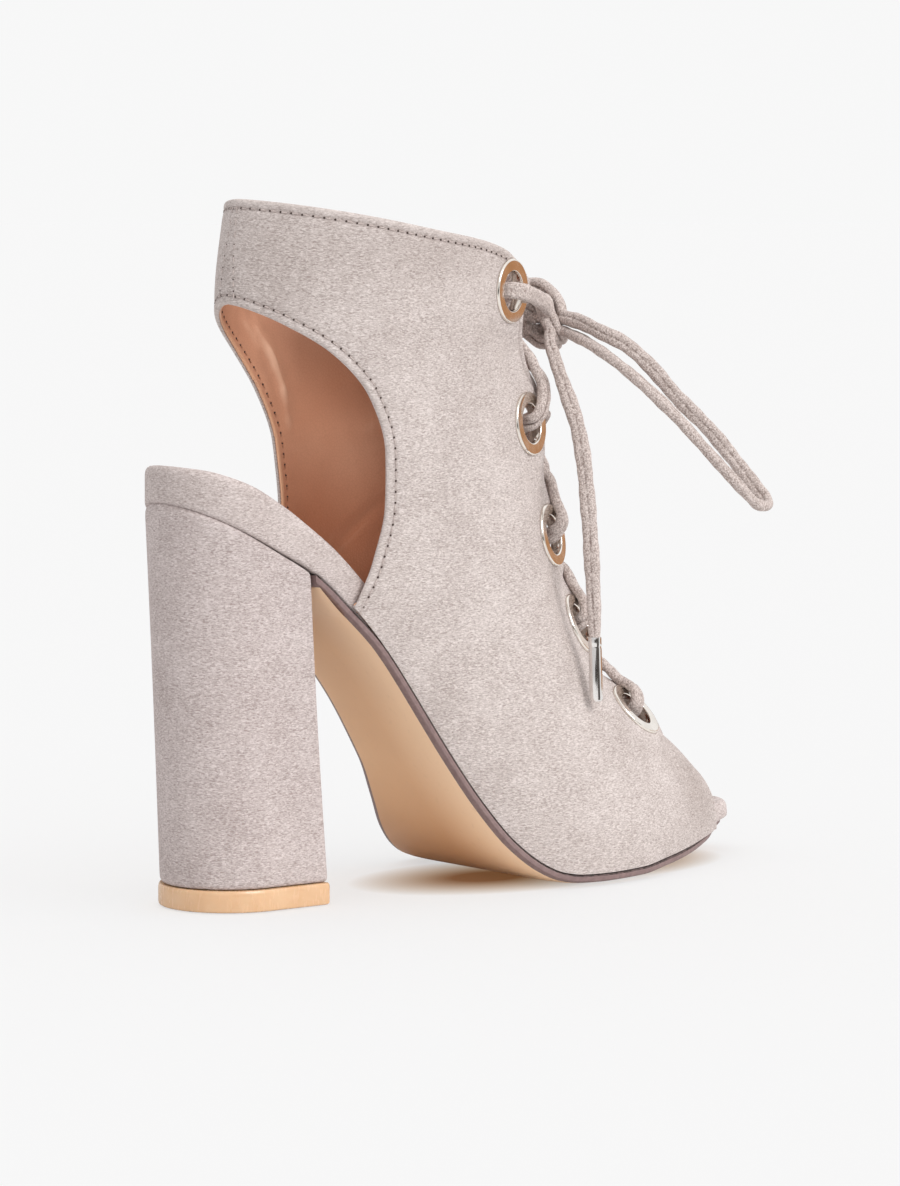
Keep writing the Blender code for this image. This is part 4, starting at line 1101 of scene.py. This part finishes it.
def seam_line(side, ribs, from_top, depth):
    """The line of a seam on the upper, from rib to rib, with the way it faces."""
    points, ups = [], []
    for r in ribs:
        order = [index[side, r, c] for c in (range(columns - 1, -1, -1) if from_top else range(columns))]
        for a, b in zip(order, order[1:]):
            if from_edge[a] <= SEAM < from_edge[b]:
                t = (SEAM - from_edge[a]) / (from_edge[b] - from_edge[a])
                up = normals[a] * (1 - t) + normals[b] * t
                points.append(sheet[a] * (1 - t) + sheet[b] * t + up * depth)
                ups.append(up if depth > -1 else -up)
                break
    return points, ups


def spaced(points, ups, start):
    """The line again from a start, with points close together."""
    points, ups = np.array(points), np.array(ups)
    far = np.concatenate([[0.0], np.cumsum(np.linalg.norm(np.diff(points, axis=0), axis=1))])
    at = np.arange(start, far[-1], 0.5)
    return [np.stack([np.interp(at, far, a[:, i]) for i in range(3)], 1) for a in (points, ups)]


def sewn_row(name, points, ups, thread_used, high, hole, deep, lift=0.0):
    """A row of stitches with dark beads between them, the painted shade of the needle holes; the name has a
    place for which of the two.
    """
    for kind, start, size, finish_used, off in (
        ("stitches", 0.0, (STITCH_LONG, THREAD, THREAD * high), thread_used, 0.0),
        ("needle_holes", PITCH / 2, (hole, hole, deep), needle_hole_shade, lift),
    ):
        path, out = spaced(points, ups, start)
        edges = [(i, i + 1) for i in range(len(path) - 1)]
        values = {"Pitch": PITCH * MM, "Size": tuple(s * MM for s in size), "Thread": finish_used}
        settled(grown(name.format(kind), path + out * off, out, edges, row_tree, values), "suede")


thread = speckled("matching thread", 0.8, 2600.0, 1.0, (0.3, 0.7),
                  (0.42, 0.35, 0.325, 1.0), (0.60, 0.52, 0.49, 1.0), 0.0001)
# The needle holes are dark beads that paint the shade inside each hole.
needle_hole_shade = speckled("needle hole", 1.0, 1500.0, 1.0, (0.0, 1.0),
                       (0.045, 0.03, 0.027, 1.0), (0.10, 0.07, 0.06, 1.0))
brown_thread = speckled("brown thread", 0.8, 2600.0, 1.0, (0.3, 0.7),
                        (0.40, 0.19, 0.11, 1.0), (0.54, 0.28, 0.175, 1.0))
heel_ribs = range(rib_kinds.index("heel side") - 4, ribs_count)
collar_ribs = range(rib_kinds.index("heel side") + int((CORNER - 0.05) * 91), ribs_count)
for label, ribs, from_top in (("heel_side_outer", heel_ribs, False), ("collar", collar_ribs, True)):
    for face, depth, thread_used in (("outside", -0.1, thread), ("lining", -WALL + 0.02, brown_thread)):
        points, ups = seam_line(OUTER, ribs, from_top, depth)
        far_points, far_ups = seam_line(INNER, ribs[::-1], from_top, depth)
        points, ups = points + far_points, ups + far_ups
        sewn_row(f"{label}_{{}}_{face}", points, ups, thread_used, 0.8, NEEDLE, 0.3, 0.03)

BACK_SEAM = 2.2  # from the middle of the strap's back to the row of stitches beside it
middle_column = columns // 2
for side in (OUTER, INNER):
    back = sheet[index[side, ribs_count - 1, middle_column]]
    r = min(range(ribs_count - 12, ribs_count),
            key=lambda r: abs(np.linalg.norm(sheet[index[side, r, middle_column]] - back) - BACK_SEAM))
    row = [index[side, r, c] for c in range(columns) if from_edge[index[side, r, c]] > SEAM - 0.2]
    points, ups = sheet[row] + normals[row] * 0.02, normals[row]
    sewn_row(f"back_seam_{SIDE_NAME[side]}_{{}}", points, ups, thread, 0.7, NEEDLE * 0.75, 0.25)

# Eyelets: two rows of five bright metal rings, set through the flaps along the throat.
# Each is a stamped sleeve with a flat flange, clenched over the lining inside.
# The ring's section: how far from its middle, and how far over the flap.
RING = [
    (7.1, -2.2), (7.0, -2.5), (6.3, -2.7), (5.7, -2.6), (5.42, -2.2), (5.4, 0.2), (5.44, 0.5), (5.54, 0.68),
    (5.7, 0.77), (5.82, 0.78), (5.87, 0.78), (8.2, 0.78), (8.25, 0.78), (8.42, 0.75), (8.58, 0.64),
    (8.7, 0.45), (8.78, 0.2), (8.78, 0.03), (8.6, -0.02), (7.0, -0.02), (5.95, -0.02), (5.9, -2.1),
    (6.4, -2.25),
]
AROUND = 72


def bright(tree, shader, wear, first, second, grain, strength):
    """Metal in two close colours, duller where it is worn, with a fine grain."""
    shader.inputs["Metallic"].default_value = 1.0
    tree.links.new(tinted(tree, ranged(tree, wear, 0.3, 0.7), first, second), shader.inputs["Base Color"])
    tree.links.new(ranged(tree, wear, 0.3, 0.7, 0.08, 0.2), shader.inputs["Roughness"])
    raised(tree, shader, grain, 0.00001, strength)


eyelet_metal, tree, shader, place = finish("bright eyelet metal", 0.12)
polish = noise(tree, place, 1300.0, 3.0)
wear = noise(tree, place, 240.0, 2.0)
bright(tree, shader, wear, (0.80, 0.74, 0.67, 1.0), (0.90, 0.85, 0.79, 1.0), polish, 0.5)
ring_points = [
    (r * MM * math.cos(a), r * MM * math.sin(a), h * MM)
    for a in np.linspace(0, 2 * math.pi, AROUND + 1)[:-1] for r, h in RING
]
m = len(RING)
ring_faces = [
    (i * m + j, (i + 1) % AROUND * m + j, (i + 1) % AROUND * m + (j + 1) % m, i * m + (j + 1) % m)
    for i in range(AROUND) for j in range(m)
]
ring_mesh = bpy.data.meshes.new("eyelet ring")
ring_mesh.from_pydata(ring_points, [], ring_faces)
b = bmesh.new()
b.from_mesh(ring_mesh)
bmesh.ops.recalc_face_normals(b, faces=b.faces)
b.to_mesh(ring_mesh)
b.free()
ring_holder = bpy.data.objects.new("eyelet ring", ring_mesh)
scene.collection.objects.link(ring_holder)
ring_tree, given, result = repeated("eyelet row", [
    ("Ring", "NodeSocketObject"), ("Metal", "NodeSocketMaterial"),
])
faced = {"Vector": kept_up(ring_tree)}
faced = node(ring_tree, "FunctionNodeAlignRotationToVector", faced, axis="Z")["Rotation"]
shape = grow(ring_tree, "ObjectInfo", {"Object": given["Ring"]})["Geometry"]
laid_on(ring_tree, given["Path"], shape, faced, given["Metal"], result)
for side, row in holes.items():
    middles, axes = zip(*row)
    made = grown(f"eyelets_{SIDE_NAME[side]}", middles, axes, [], ring_tree,
                 {"Ring": ring_holder, "Metal": eyelet_metal})
    made.data.set_sharp_from_angle(angle=math.radians(50))
    settled(made, "eyelet metal", *(f"eyelet_{SIDE_NAME[side]}_{i}" for i in range(1, 6)))
bpy.data.objects.remove(ring_holder)

# Lacing: a folded strip of suede, sewn along its middle to a soft flat cord, drawn up through the eyelets.
# It starts as a bar inside the lowest pair, crosses the throat four times and comes out at the top pair.
LACE_WIDE, LACE_THICK = 4.5, 2.8
# Half of the lace's section: how far out, how far up, and how deep in the sewn fold.
FOLD = [(1.0, 0.0, 0.0), (0.97, 0.36, 0.0), (0.86, 0.68, 0.0), (0.66, 0.91, 0.0), (0.42, 1.0, 0.0),
        (0.23, 0.96, 0.1), (0.10, 0.80, 0.6), (0.0, 0.58, 1.0)]


def soft_path(points, gap, closed=False):
    """An even path through points, on a curve that rounds off each of them."""
    p = [Vector(q) for q in points]
    p = [p[-1], *p, p[0], p[1]] if closed else [p[0] * 2 - p[1], *p, p[-1] * 2 - p[-2]]
    fine = []
    for a, b, c, d in zip(p, p[1:], p[2:], p[3:]):
        t1 = math.sqrt((b - a).length) or 1e-6
        t2 = t1 + (math.sqrt((c - b).length) or 1e-6)
        t3 = t2 + (math.sqrt((d - c).length) or 1e-6)
        for t in np.linspace(t1, t2, 17)[:-1]:
            e, f, g = a.lerp(b, t / t1), b.lerp(c, (t - t1) / (t2 - t1)), c.lerp(d, (t - t2) / (t3 - t2))
            h, i = e.lerp(f, t / t2), f.lerp(g, (t - t1) / (t3 - t1))
            fine.append(h.lerp(i, (t - t1) / (t2 - t1)))
    fine = np.array(fine + [p[-2]])
    far = np.concatenate([[0.0], np.cumsum(np.linalg.norm(np.diff(fine, axis=0), axis=1))])
    at = np.linspace(0.0, far[-1], max(int(far[-1] / gap), 2) + 1)
    path = [Vector([np.interp(s, far, column) for column in fine.T]) for s in at]
    return path[:-1] if closed else path


def lace_tube(path, flat_way, wide, thick, turn=0.0, closed=False, seed=1.0, fold=1.0, facing=None):
    """Points, faces and sewn fold of a flat cord along a path, a little uneven as soft suede is."""
    section = [(x, 1 - (1 - y) * fold if g else y, g) for x, y, g in FOLD]
    section += [(-x, y, g) for x, y, g in reversed(section[:-1])]
    section += [(-x, -(y if y < 0.9 or abs(x) > 0.3 else 1.0) * (0.9 if x == 0 else 1.0), g * 0.5)
                for x, y, g in FOLD[1:-3]] + [(0.0, -0.88, 0.6)]
    section += [(-x, y, g) for x, y, g in reversed(section[2 * len(FOLD) - 1:-1])]
    around, n = len(section), len(path)
    points, folds, faces = [], [], []
    side = Vector(flat_way)
    gone = 0.0
    for i, p in enumerate(path):
        share = i / (n - 1)
        before = path[i - 1 if closed else max(i - 1, 0)]
        after = path[(i + 1) % n if closed else min(i + 1, n - 1)]
        ahead = (after - before).normalized()
        gone += (p - path[i - 1]).length if i else 0.0
        side = ahead.cross(facing[i]) if facing else side
        side = (side - ahead * side.dot(ahead)).normalized()
        over = ahead.cross(side)
        angle = turn(share) if callable(turn) else turn * gone
        angle += 0.0 if closed else 0.12 * math.sin(gone / 5.3 + seed * 2.1)
        u = side * math.cos(angle) + over * math.sin(angle)
        v = over * math.cos(angle) - side * math.sin(angle)
        w = wide(share) if callable(wide) else wide
        h = thick(share) if callable(thick) else thick
        w *= 1 + 0.045 * math.sin(gone / 2.3 + seed) + 0.03 * math.sin(gone / 0.83 + seed * 5)
        h *= 1 + 0.05 * math.sin(gone / 1.7 + seed * 3) + 0.03 * math.sin(gone / 0.71 + seed)
        for x, y, g in section:
            points.append(p + u * (x * w / 2) + v * (y * h / 2))
            folds.append(g)
    for i in range(n if closed else n - 1):
        for j in range(around):
            a, b = i * around, (i + 1) % n * around
            k = (j + 1) % around
            faces.append((a + j, a + k, b + k, b + j))
    if not closed:
        for i in (0, n - 1):
            points.append(path[i])
            folds.append(0.0)
            faces += [(i * around + j, i * around + (j + 1) % around, len(points) - 1) for j in range(around)]
    return points, faces, folds


def lace_piece(name, tubes):
    """One piece from tubes of lace, with the depth of its sewn fold kept for the finish."""
    points, faces, folds = [], [], []
    for p, f, g in tubes:
        faces += [tuple(i + len(points) for i in face) for face in f]
        points += p
        folds += g
    made = piece(name, points, faces, [lace_suede], sharp=80)
    keep_marks(made, points, {"sewn_fold": folds})
    return made


lace_suede, tree, shader, place = finish("lace suede nap", 0.95)
fuzz = noise(tree, place, 2300.0, 1.0, 0.4)
mottle = noise(tree, place, 800.0, 2.0)
cloud = noise(tree, place, 130.0, 2.0)
tone = ranged(tree, weighed(tree, (fuzz, 3.2), (mottle, 0.5), (cloud, 0.4)), 1.5, 2.6)
colour = tinted(tree, tone, (0.335, 0.27, 0.245, 1.0), (0.70, 0.615, 0.58, 1.0))
# The lace is darker along its sewn fold: partly the seam's own colour, partly painted shade in the fold.
sewn = ranged(tree, marked(tree, "sewn_fold"), 0.2, 1.0)
fold_darkening = product(tree, sewn, ranged(tree, mottle, 0.4, 0.6, 0.75, 0.1))
colour = tinted(tree, fold_darkening, colour, (0.15, 0.105, 0.09, 1.0))
tree.links.new(colour, shader.inputs["Base Color"])
shader.inputs["Specular IOR Level"].default_value = 0.2
shader.inputs["Sheen Weight"].default_value = 0.12
shader.inputs["Sheen Roughness"].default_value = 0.5
raised(tree, shader, weighed(tree, (fuzz, 0.7), (mottle, 0.5)), 0.0003, 0.9)


def flap_section(side, number, up):
    """The section whose flap edge lies so far above an eyelet, along the row of eyelets."""
    middle = holes[side][number][0]
    along = (holes[side][min(number + 1, 4)][0] - holes[side][min(number, 3)][0]).normalized()

    def lower(k):
        return (upper_point(side, k, flap_angle[side](k)) - middle).dot(along) < up

    return halved(1.8, COLLAR, 24, lower)


def by_flap(side, k, past, off):
    """A point by the edge of the throat: how far past the edge, and how far off the flap's outside."""
    angle = flap_angle[side](k)
    edge = upper_point(side, k, angle)
    higher = upper_point(side, min(k + 0.02, COLLAR), angle)
    along = (higher - upper_point(side, k - 0.02, angle)).normalized()
    beyond = edge - upper_point(side, k, angle - 3.0)
    beyond = (beyond - along * beyond.dot(along)).normalized()
    out = along.cross(beyond)
    out = out if out.y * side > 0 else -out
    return edge + beyond * past + out * off, (out + beyond * max(past, 0.0) * 0.5).normalized()


def through_hole(side, number, come_from, go_to, lift, top):
    """The lace from inside an eyelet to its outside and the way it faces, lifted from the hole's far side."""
    middle, axis = holes[side][number]
    come, go = (
        (way - middle - axis * (way - middle).dot(axis)).normalized() for way in (come_from, go_to)
    )
    inside = [(6.4, -5.2), (3.4, -5.0), (0.6 + lift, -4.2), (lift - 1.6, -2.8), (lift - 2.6, -1.0)]
    outside = [(lift - 2.6, 0.8), (lift - 0.8, 2.5), (lift + 2.4, 3.1)]
    route = []
    for d, h in inside:
        route.append((middle + come * d + axis * h, (-axis - come * max(h + 4.2, 0.0) * 0.6) * top))
    for d, h in outside:
        route.append((middle + go * d + axis * h, (axis - go * max(2.0 - h, 0.0)) * top))
    return route


KNOT = Vector((129.6, -4.0, 152.5))
# The last run, from an outer top eyelet to the knot; the inner one drifts over to the knot on the way.
TO_KNOT = [(115.1, -14.8, 159.8), (120.8, -11.0, 158.5), (125.5, -7.8, 156.2), (128.0, -5.5, 153.6)]
DRIFT, DRIFT_FROM, DRIFT_RUN = 8.0, 113.0, 17.0
# From each eyelet, the lowest first, the lace goes over the flap's edge: how far above the eyelet, past
# the edge and off the flap.
OVER = [
    [(5.0, -1.8, 3.2), (10.0, -0.2, 2.9), (13.0, 1.9, 1.7), (17.0, 3.0, -2.2)],
    [(6.5, -1.0, 2.9), (10.0, 0.2, 2.2), (13.0, 1.9, 1.1), (17.0, 2.9, -2.5)],
    [(7.0, -0.6, 2.6), (10.0, 0.2, 2.2), (13.0, 1.9, 1.1), (17.0, 2.9, -2.4)],
    [(9.0, -1.5, 2.2), (13.0, 1.4, 1.2), (16.0, 2.4, 0.1), (19.5, 2.8, -2.6)],
]
# Where it goes under the next flap: how far above the next eyelet, past the edge and off the flap, and
# how deep it lies inside.
TUCKED = [(2.5, 2.8, -2.4, 2.9), (2.5, 2.8, -2.4, 2.9), (0.5, 3.6, 0.9, 4.2), (2.5, 2.8, -2.4, 2.9)]
ROUNDING = 5  # how often the route is eased, so that the lace turns softly in the eyelets
FROM_THROAT = Vector((0.86, 0.0, 0.5))  # the way out of the throat
BULGE = {OUTER: 1.0, INNER: -1.6}  # how far a crossing stands out, by the side where its lace begins
lace_tubes = []
between = (holes[OUTER][0][0] + holes[INNER][0][0]) / 2 + Vector((0.0, 0.0, -6.0))
for begin in (OUTER, INNER):
    side, top, last = begin, 1, between
    route = [(between, Vector((0.0, 0.0, -1.0)))]
    for number in range(5):
        if number < 4:
            over = [by_flap(side, flap_section(side, number, up), past, off)
                    for up, past, off in OVER[number]]
            up, past, off, deep = TUCKED[number]
            edge = by_flap(-side, flap_section(-side, number + 1, up), past, off)[0]
            under_flap = by_flap(-side, flap_section(-side, number + 1, -3.0), -1.5, -(WALL + deep))[0]
            cross = (over[-1][0] + edge) / 2 + FROM_THROAT * BULGE[begin]
            outward = FROM_THROAT * top
            route += through_hole(side, number, last, over[0][0], 3.0, top) + [(p, f * top) for p, f in over]
            route += [(cross, outward), (edge, outward), (under_flap, holes[-side][number + 1][1] * top)]
            last, side, top = under_flap, -side, -top
        else:
            drift = DRIFT if side == INNER else 0.0
            entry = [Vector((x, y * -side - drift * (x - DRIFT_FROM) / DRIFT_RUN, z)) for x, y, z in TO_KNOT]
            route += through_hole(side, number, last, entry[0], 0.0, top)
            route += [(p, holes[side][number][1] * top) for p in entry]
    laid = soft_path([(*p, *f * 0.01) for p, f in route], 0.8)
    for _ in range(ROUNDING):
        laid[1:-1] = [(a + b * 2 + c) / 4 for a, b, c in zip(laid, laid[1:], laid[2:])]
    path, facing = [Vector(q[:3]) for q in laid], [Vector(q[3:]) for q in laid]
    lace_tubes.append(lace_tube(path, upward, LACE_WIDE, LACE_THICK, seed=begin, facing=facing))
settled(lace_piece("lacing", lace_tubes), "lace suede", "lace_bar",
        *(f"lace_crossing_{i}" for i in range(1, 5)), "lace_top_outer", "lace_top_inner")

# Knot: the two lace ends tied in a bow over the throat, drawn tight.
# One strand wraps round the other as a broad band, and the loops leave from under it.
BAND = [(-2.4, 6.4, 2.0), (-1.8, 5.0, 3.6), (-1.1, 2.4, 4.5), (0.4, -1.2, 4.7), (1.9, -4.0, 3.8),
        (2.8, -5.4, 1.8), (2.7, -5.6, -0.8), (1.4, -3.4, -3.0), (-0.4, 0.6, -3.8), (-2.0, 4.6, -3.0),
        (-2.8, 6.4, -0.6)]
STRANDS = [
    [(-7.2, 9.4, -5.0), (-5.0, 10.4, -3.4), (-2.3, 10.0, -1.8), (0.6, 7.8, -0.6), (2.5, 4.8, 0.2),
     (3.2, 1.8, 0.4)],
    [(-7.4, -0.8, -3.6), (-4.8, -3.6, -2.8), (-2.4, -5.4, -2.0), (0.4, -5.0, -1.4), (2.0, -2.8, -0.8)],
    [(-3.8, 3.0, 0.6), (-1.6, 1.6, 1.4), (0.8, 0.2, 1.6), (3.0, -0.8, 1.0)],
]
BAND_WIDE, BAND_THICK = 5.2, 2.6
STRAND_WIDE, STRAND_THICK, STRAND_TWIST = 4.1, 2.9, 0.05


def by_knot(places):
    """Points beside the knot, in millimetres to the right, up and near as the camera sees it."""
    return [KNOT + rightward * right + upward * up + toward * near for right, up, near in places]


band = soft_path(by_knot(BAND), 0.6, closed=True)
tubes = [lace_tube(band, rightward, BAND_WIDE, BAND_THICK, closed=True)]
for i, strand in enumerate(STRANDS):
    path = soft_path(by_knot(strand), 0.7)
    tubes.append(lace_tube(path, upward, STRAND_WIDE, STRAND_THICK, STRAND_TWIST, seed=i))
settled(lace_piece("bow_knot", tubes), "lace suede", "lace_knot")

# Bow: a long loop and a hanging end on each side, of the same lace, each end in a metal tip.
# The tip is a short tube of bright metal, rolled round the lace and pinched near its top.
LOOP = [(131.2, -15.0, 152.7), (131.9, -23.0, 150.1), (135.5, -29.0, 146.9), (140.0, -33.7, 141.3),
        (147.6, -36.6, 132.6), (158.4, -38.5, 123.0), (167.1, -39.8, 113.9), (172.3, -41.7, 107.2),
        (173.6, -44.3, 103.9), (170.4, -48.0, 102.4), (165.5, -50.2, 103.0), (156.5, -50.2, 110.1),
        (149.3, -46.5, 118.7), (143.2, -41.9, 127.1), (137.5, -36.8, 134.5), (132.5, -31.0, 140.9),
        (129.0, -25.0, 145.6), (129.5, -17.0, 148.2)]
END = [(124.5, -10.0, 147.5), (123.2, -13.5, 143.5), (122.3, -17.5, 137.8), (122.3, -21.0, 131.7),
       (123.1, -23.5, 124.9), (123.1, -26.0, 116.8), (122.8, -28.0, 107.4), (122.6, -29.5, 97.9),
       (122.2, -31.0, 88.0), (122.2, -31.9, 77.0), (122.2, -32.4, 67.0)]
AGLET = [(0.0, 0.0), (1.45, 0.0), (1.72, 0.12), (1.8, 0.5), (1.8, 2.2), (1.7, 2.6), (1.7, 3.0), (1.8, 3.4),
         (1.8, 16.6), (1.7, 17.2), (1.4, 17.6), (1.0, 17.7), (0.95, 16.9), (0.0, 16.8)]
JOINT_DEEP, BARREL = 0.22, 1.6  # of the groove where the rolled sheet meets, on all that is wider than this
aglet_metal, tree, shader, place = finish("bright aglet metal", 0.12)
rolled = noise(tree, step(tree, "Mapping", {"Vector": place, "Scale": (1.0, 1.0, 0.08)})["Vector"], 1600.0)
bright(tree, shader, rolled, (0.74, 0.72, 0.70, 1.0), (0.86, 0.84, 0.82, 1.0), rolled, 0.6)
aglet_joint = speckled("dark joint of the aglet", 0.6, 1500.0, 2.0, (0.0, 1.0),
                       (0.03, 0.025, 0.02, 1.0), (0.09, 0.075, 0.065, 1.0))


def lathed(base, way, profile, joint, around=36):
    """Points, faces and zones of a turned shape along a way, with a groove on the side of its joint."""
    side = (joint - way * joint.dot(way)).normalized()
    over = way.cross(side)
    points = [
        base + way * h + (side * math.cos(a) + over * math.sin(a))
        * (r - (JOINT_DEEP if r > BARREL and a == 0 else 0.0))
        for r, h in profile for a in np.linspace(0, 2 * math.pi, around + 1)[:-1]
    ]
    faces, zones = [], []
    for i in range(len(profile) - 1):
        grooved = min(profile[i][0], profile[i + 1][0]) > BARREL
        a, b = i * around, (i + 1) * around
        for j in range(around):
            k = (j + 1) % around
            faces.append((a + j, a + k, b + k, b + j))
            zones.append(int(grooved and j in (0, around - 1)))
    return points, faces, zones


def sided(p, side):
    """A point or direction of the outer side, on either side."""
    return Vector((p[0], p[1] * -side, p[2]))


for side in (OUTER, INNER):
    name = SIDE_NAME[side]
    leave = KNOT + Vector((1.4, side * 3.6, 1.4))
    home = KNOT + Vector((1.2, side * 3.6, -2.2))
    # The loop on the inner side hangs a little further back.
    back = Vector((-3.2, 3.6, 0.0)) if side == INNER else Vector()
    hung = [sided(p, side) + back * min((p[0] - 129) / 40, 1.0) for p in LOOP]
    loop = soft_path([leave, *hung, home], 1.0)
    laid = curve([0.0, 0.45, 0.62, 1.0], [0.2, 0.2, -1.2, -1.2])
    made = lace_piece(f"bow_loop_{name}", [
        lace_tube(loop, sided(rightward + upward, side), 4.2, 2.8, laid, seed=side, fold=0.3)
    ])
    settled(made, "lace suede", f"lace_loop_{name}")
    drop = KNOT + Vector((-2.6, side * 3.4, -1.9))
    hang = soft_path([drop, *(sided(p, side) for p in END)], 1.0)
    narrow = curve([0.0, 0.1, 0.3, 0.75, 1.0], [3.2, 3.4, 4.3, 4.3, 3.3])
    slim = curve([0.0, 0.75, 1.0], [2.8, 2.8, 2.9])
    made = lace_piece(f"bow_end_{name}", [
        lace_tube(hang, sided(rightward, side), narrow, slim, 0.004, seed=side * 3, fold=0.15)
    ])
    down = (hang[-1] - hang[-4]).normalized()
    joint = sided(toward + rightward * 0.47, side)
    points, faces, zones = lathed(hang[-1] - down * 0.6, down, AGLET, joint)
    tip = piece(f"aglet_tip_{name}", points, faces, [aglet_metal, aglet_joint], zones)
    settled(tip, "aglet metal", f"aglet_{name}")
    settled(made, "lace suede", f"lace_end_{name}")

bpy.context.view_layer.update()
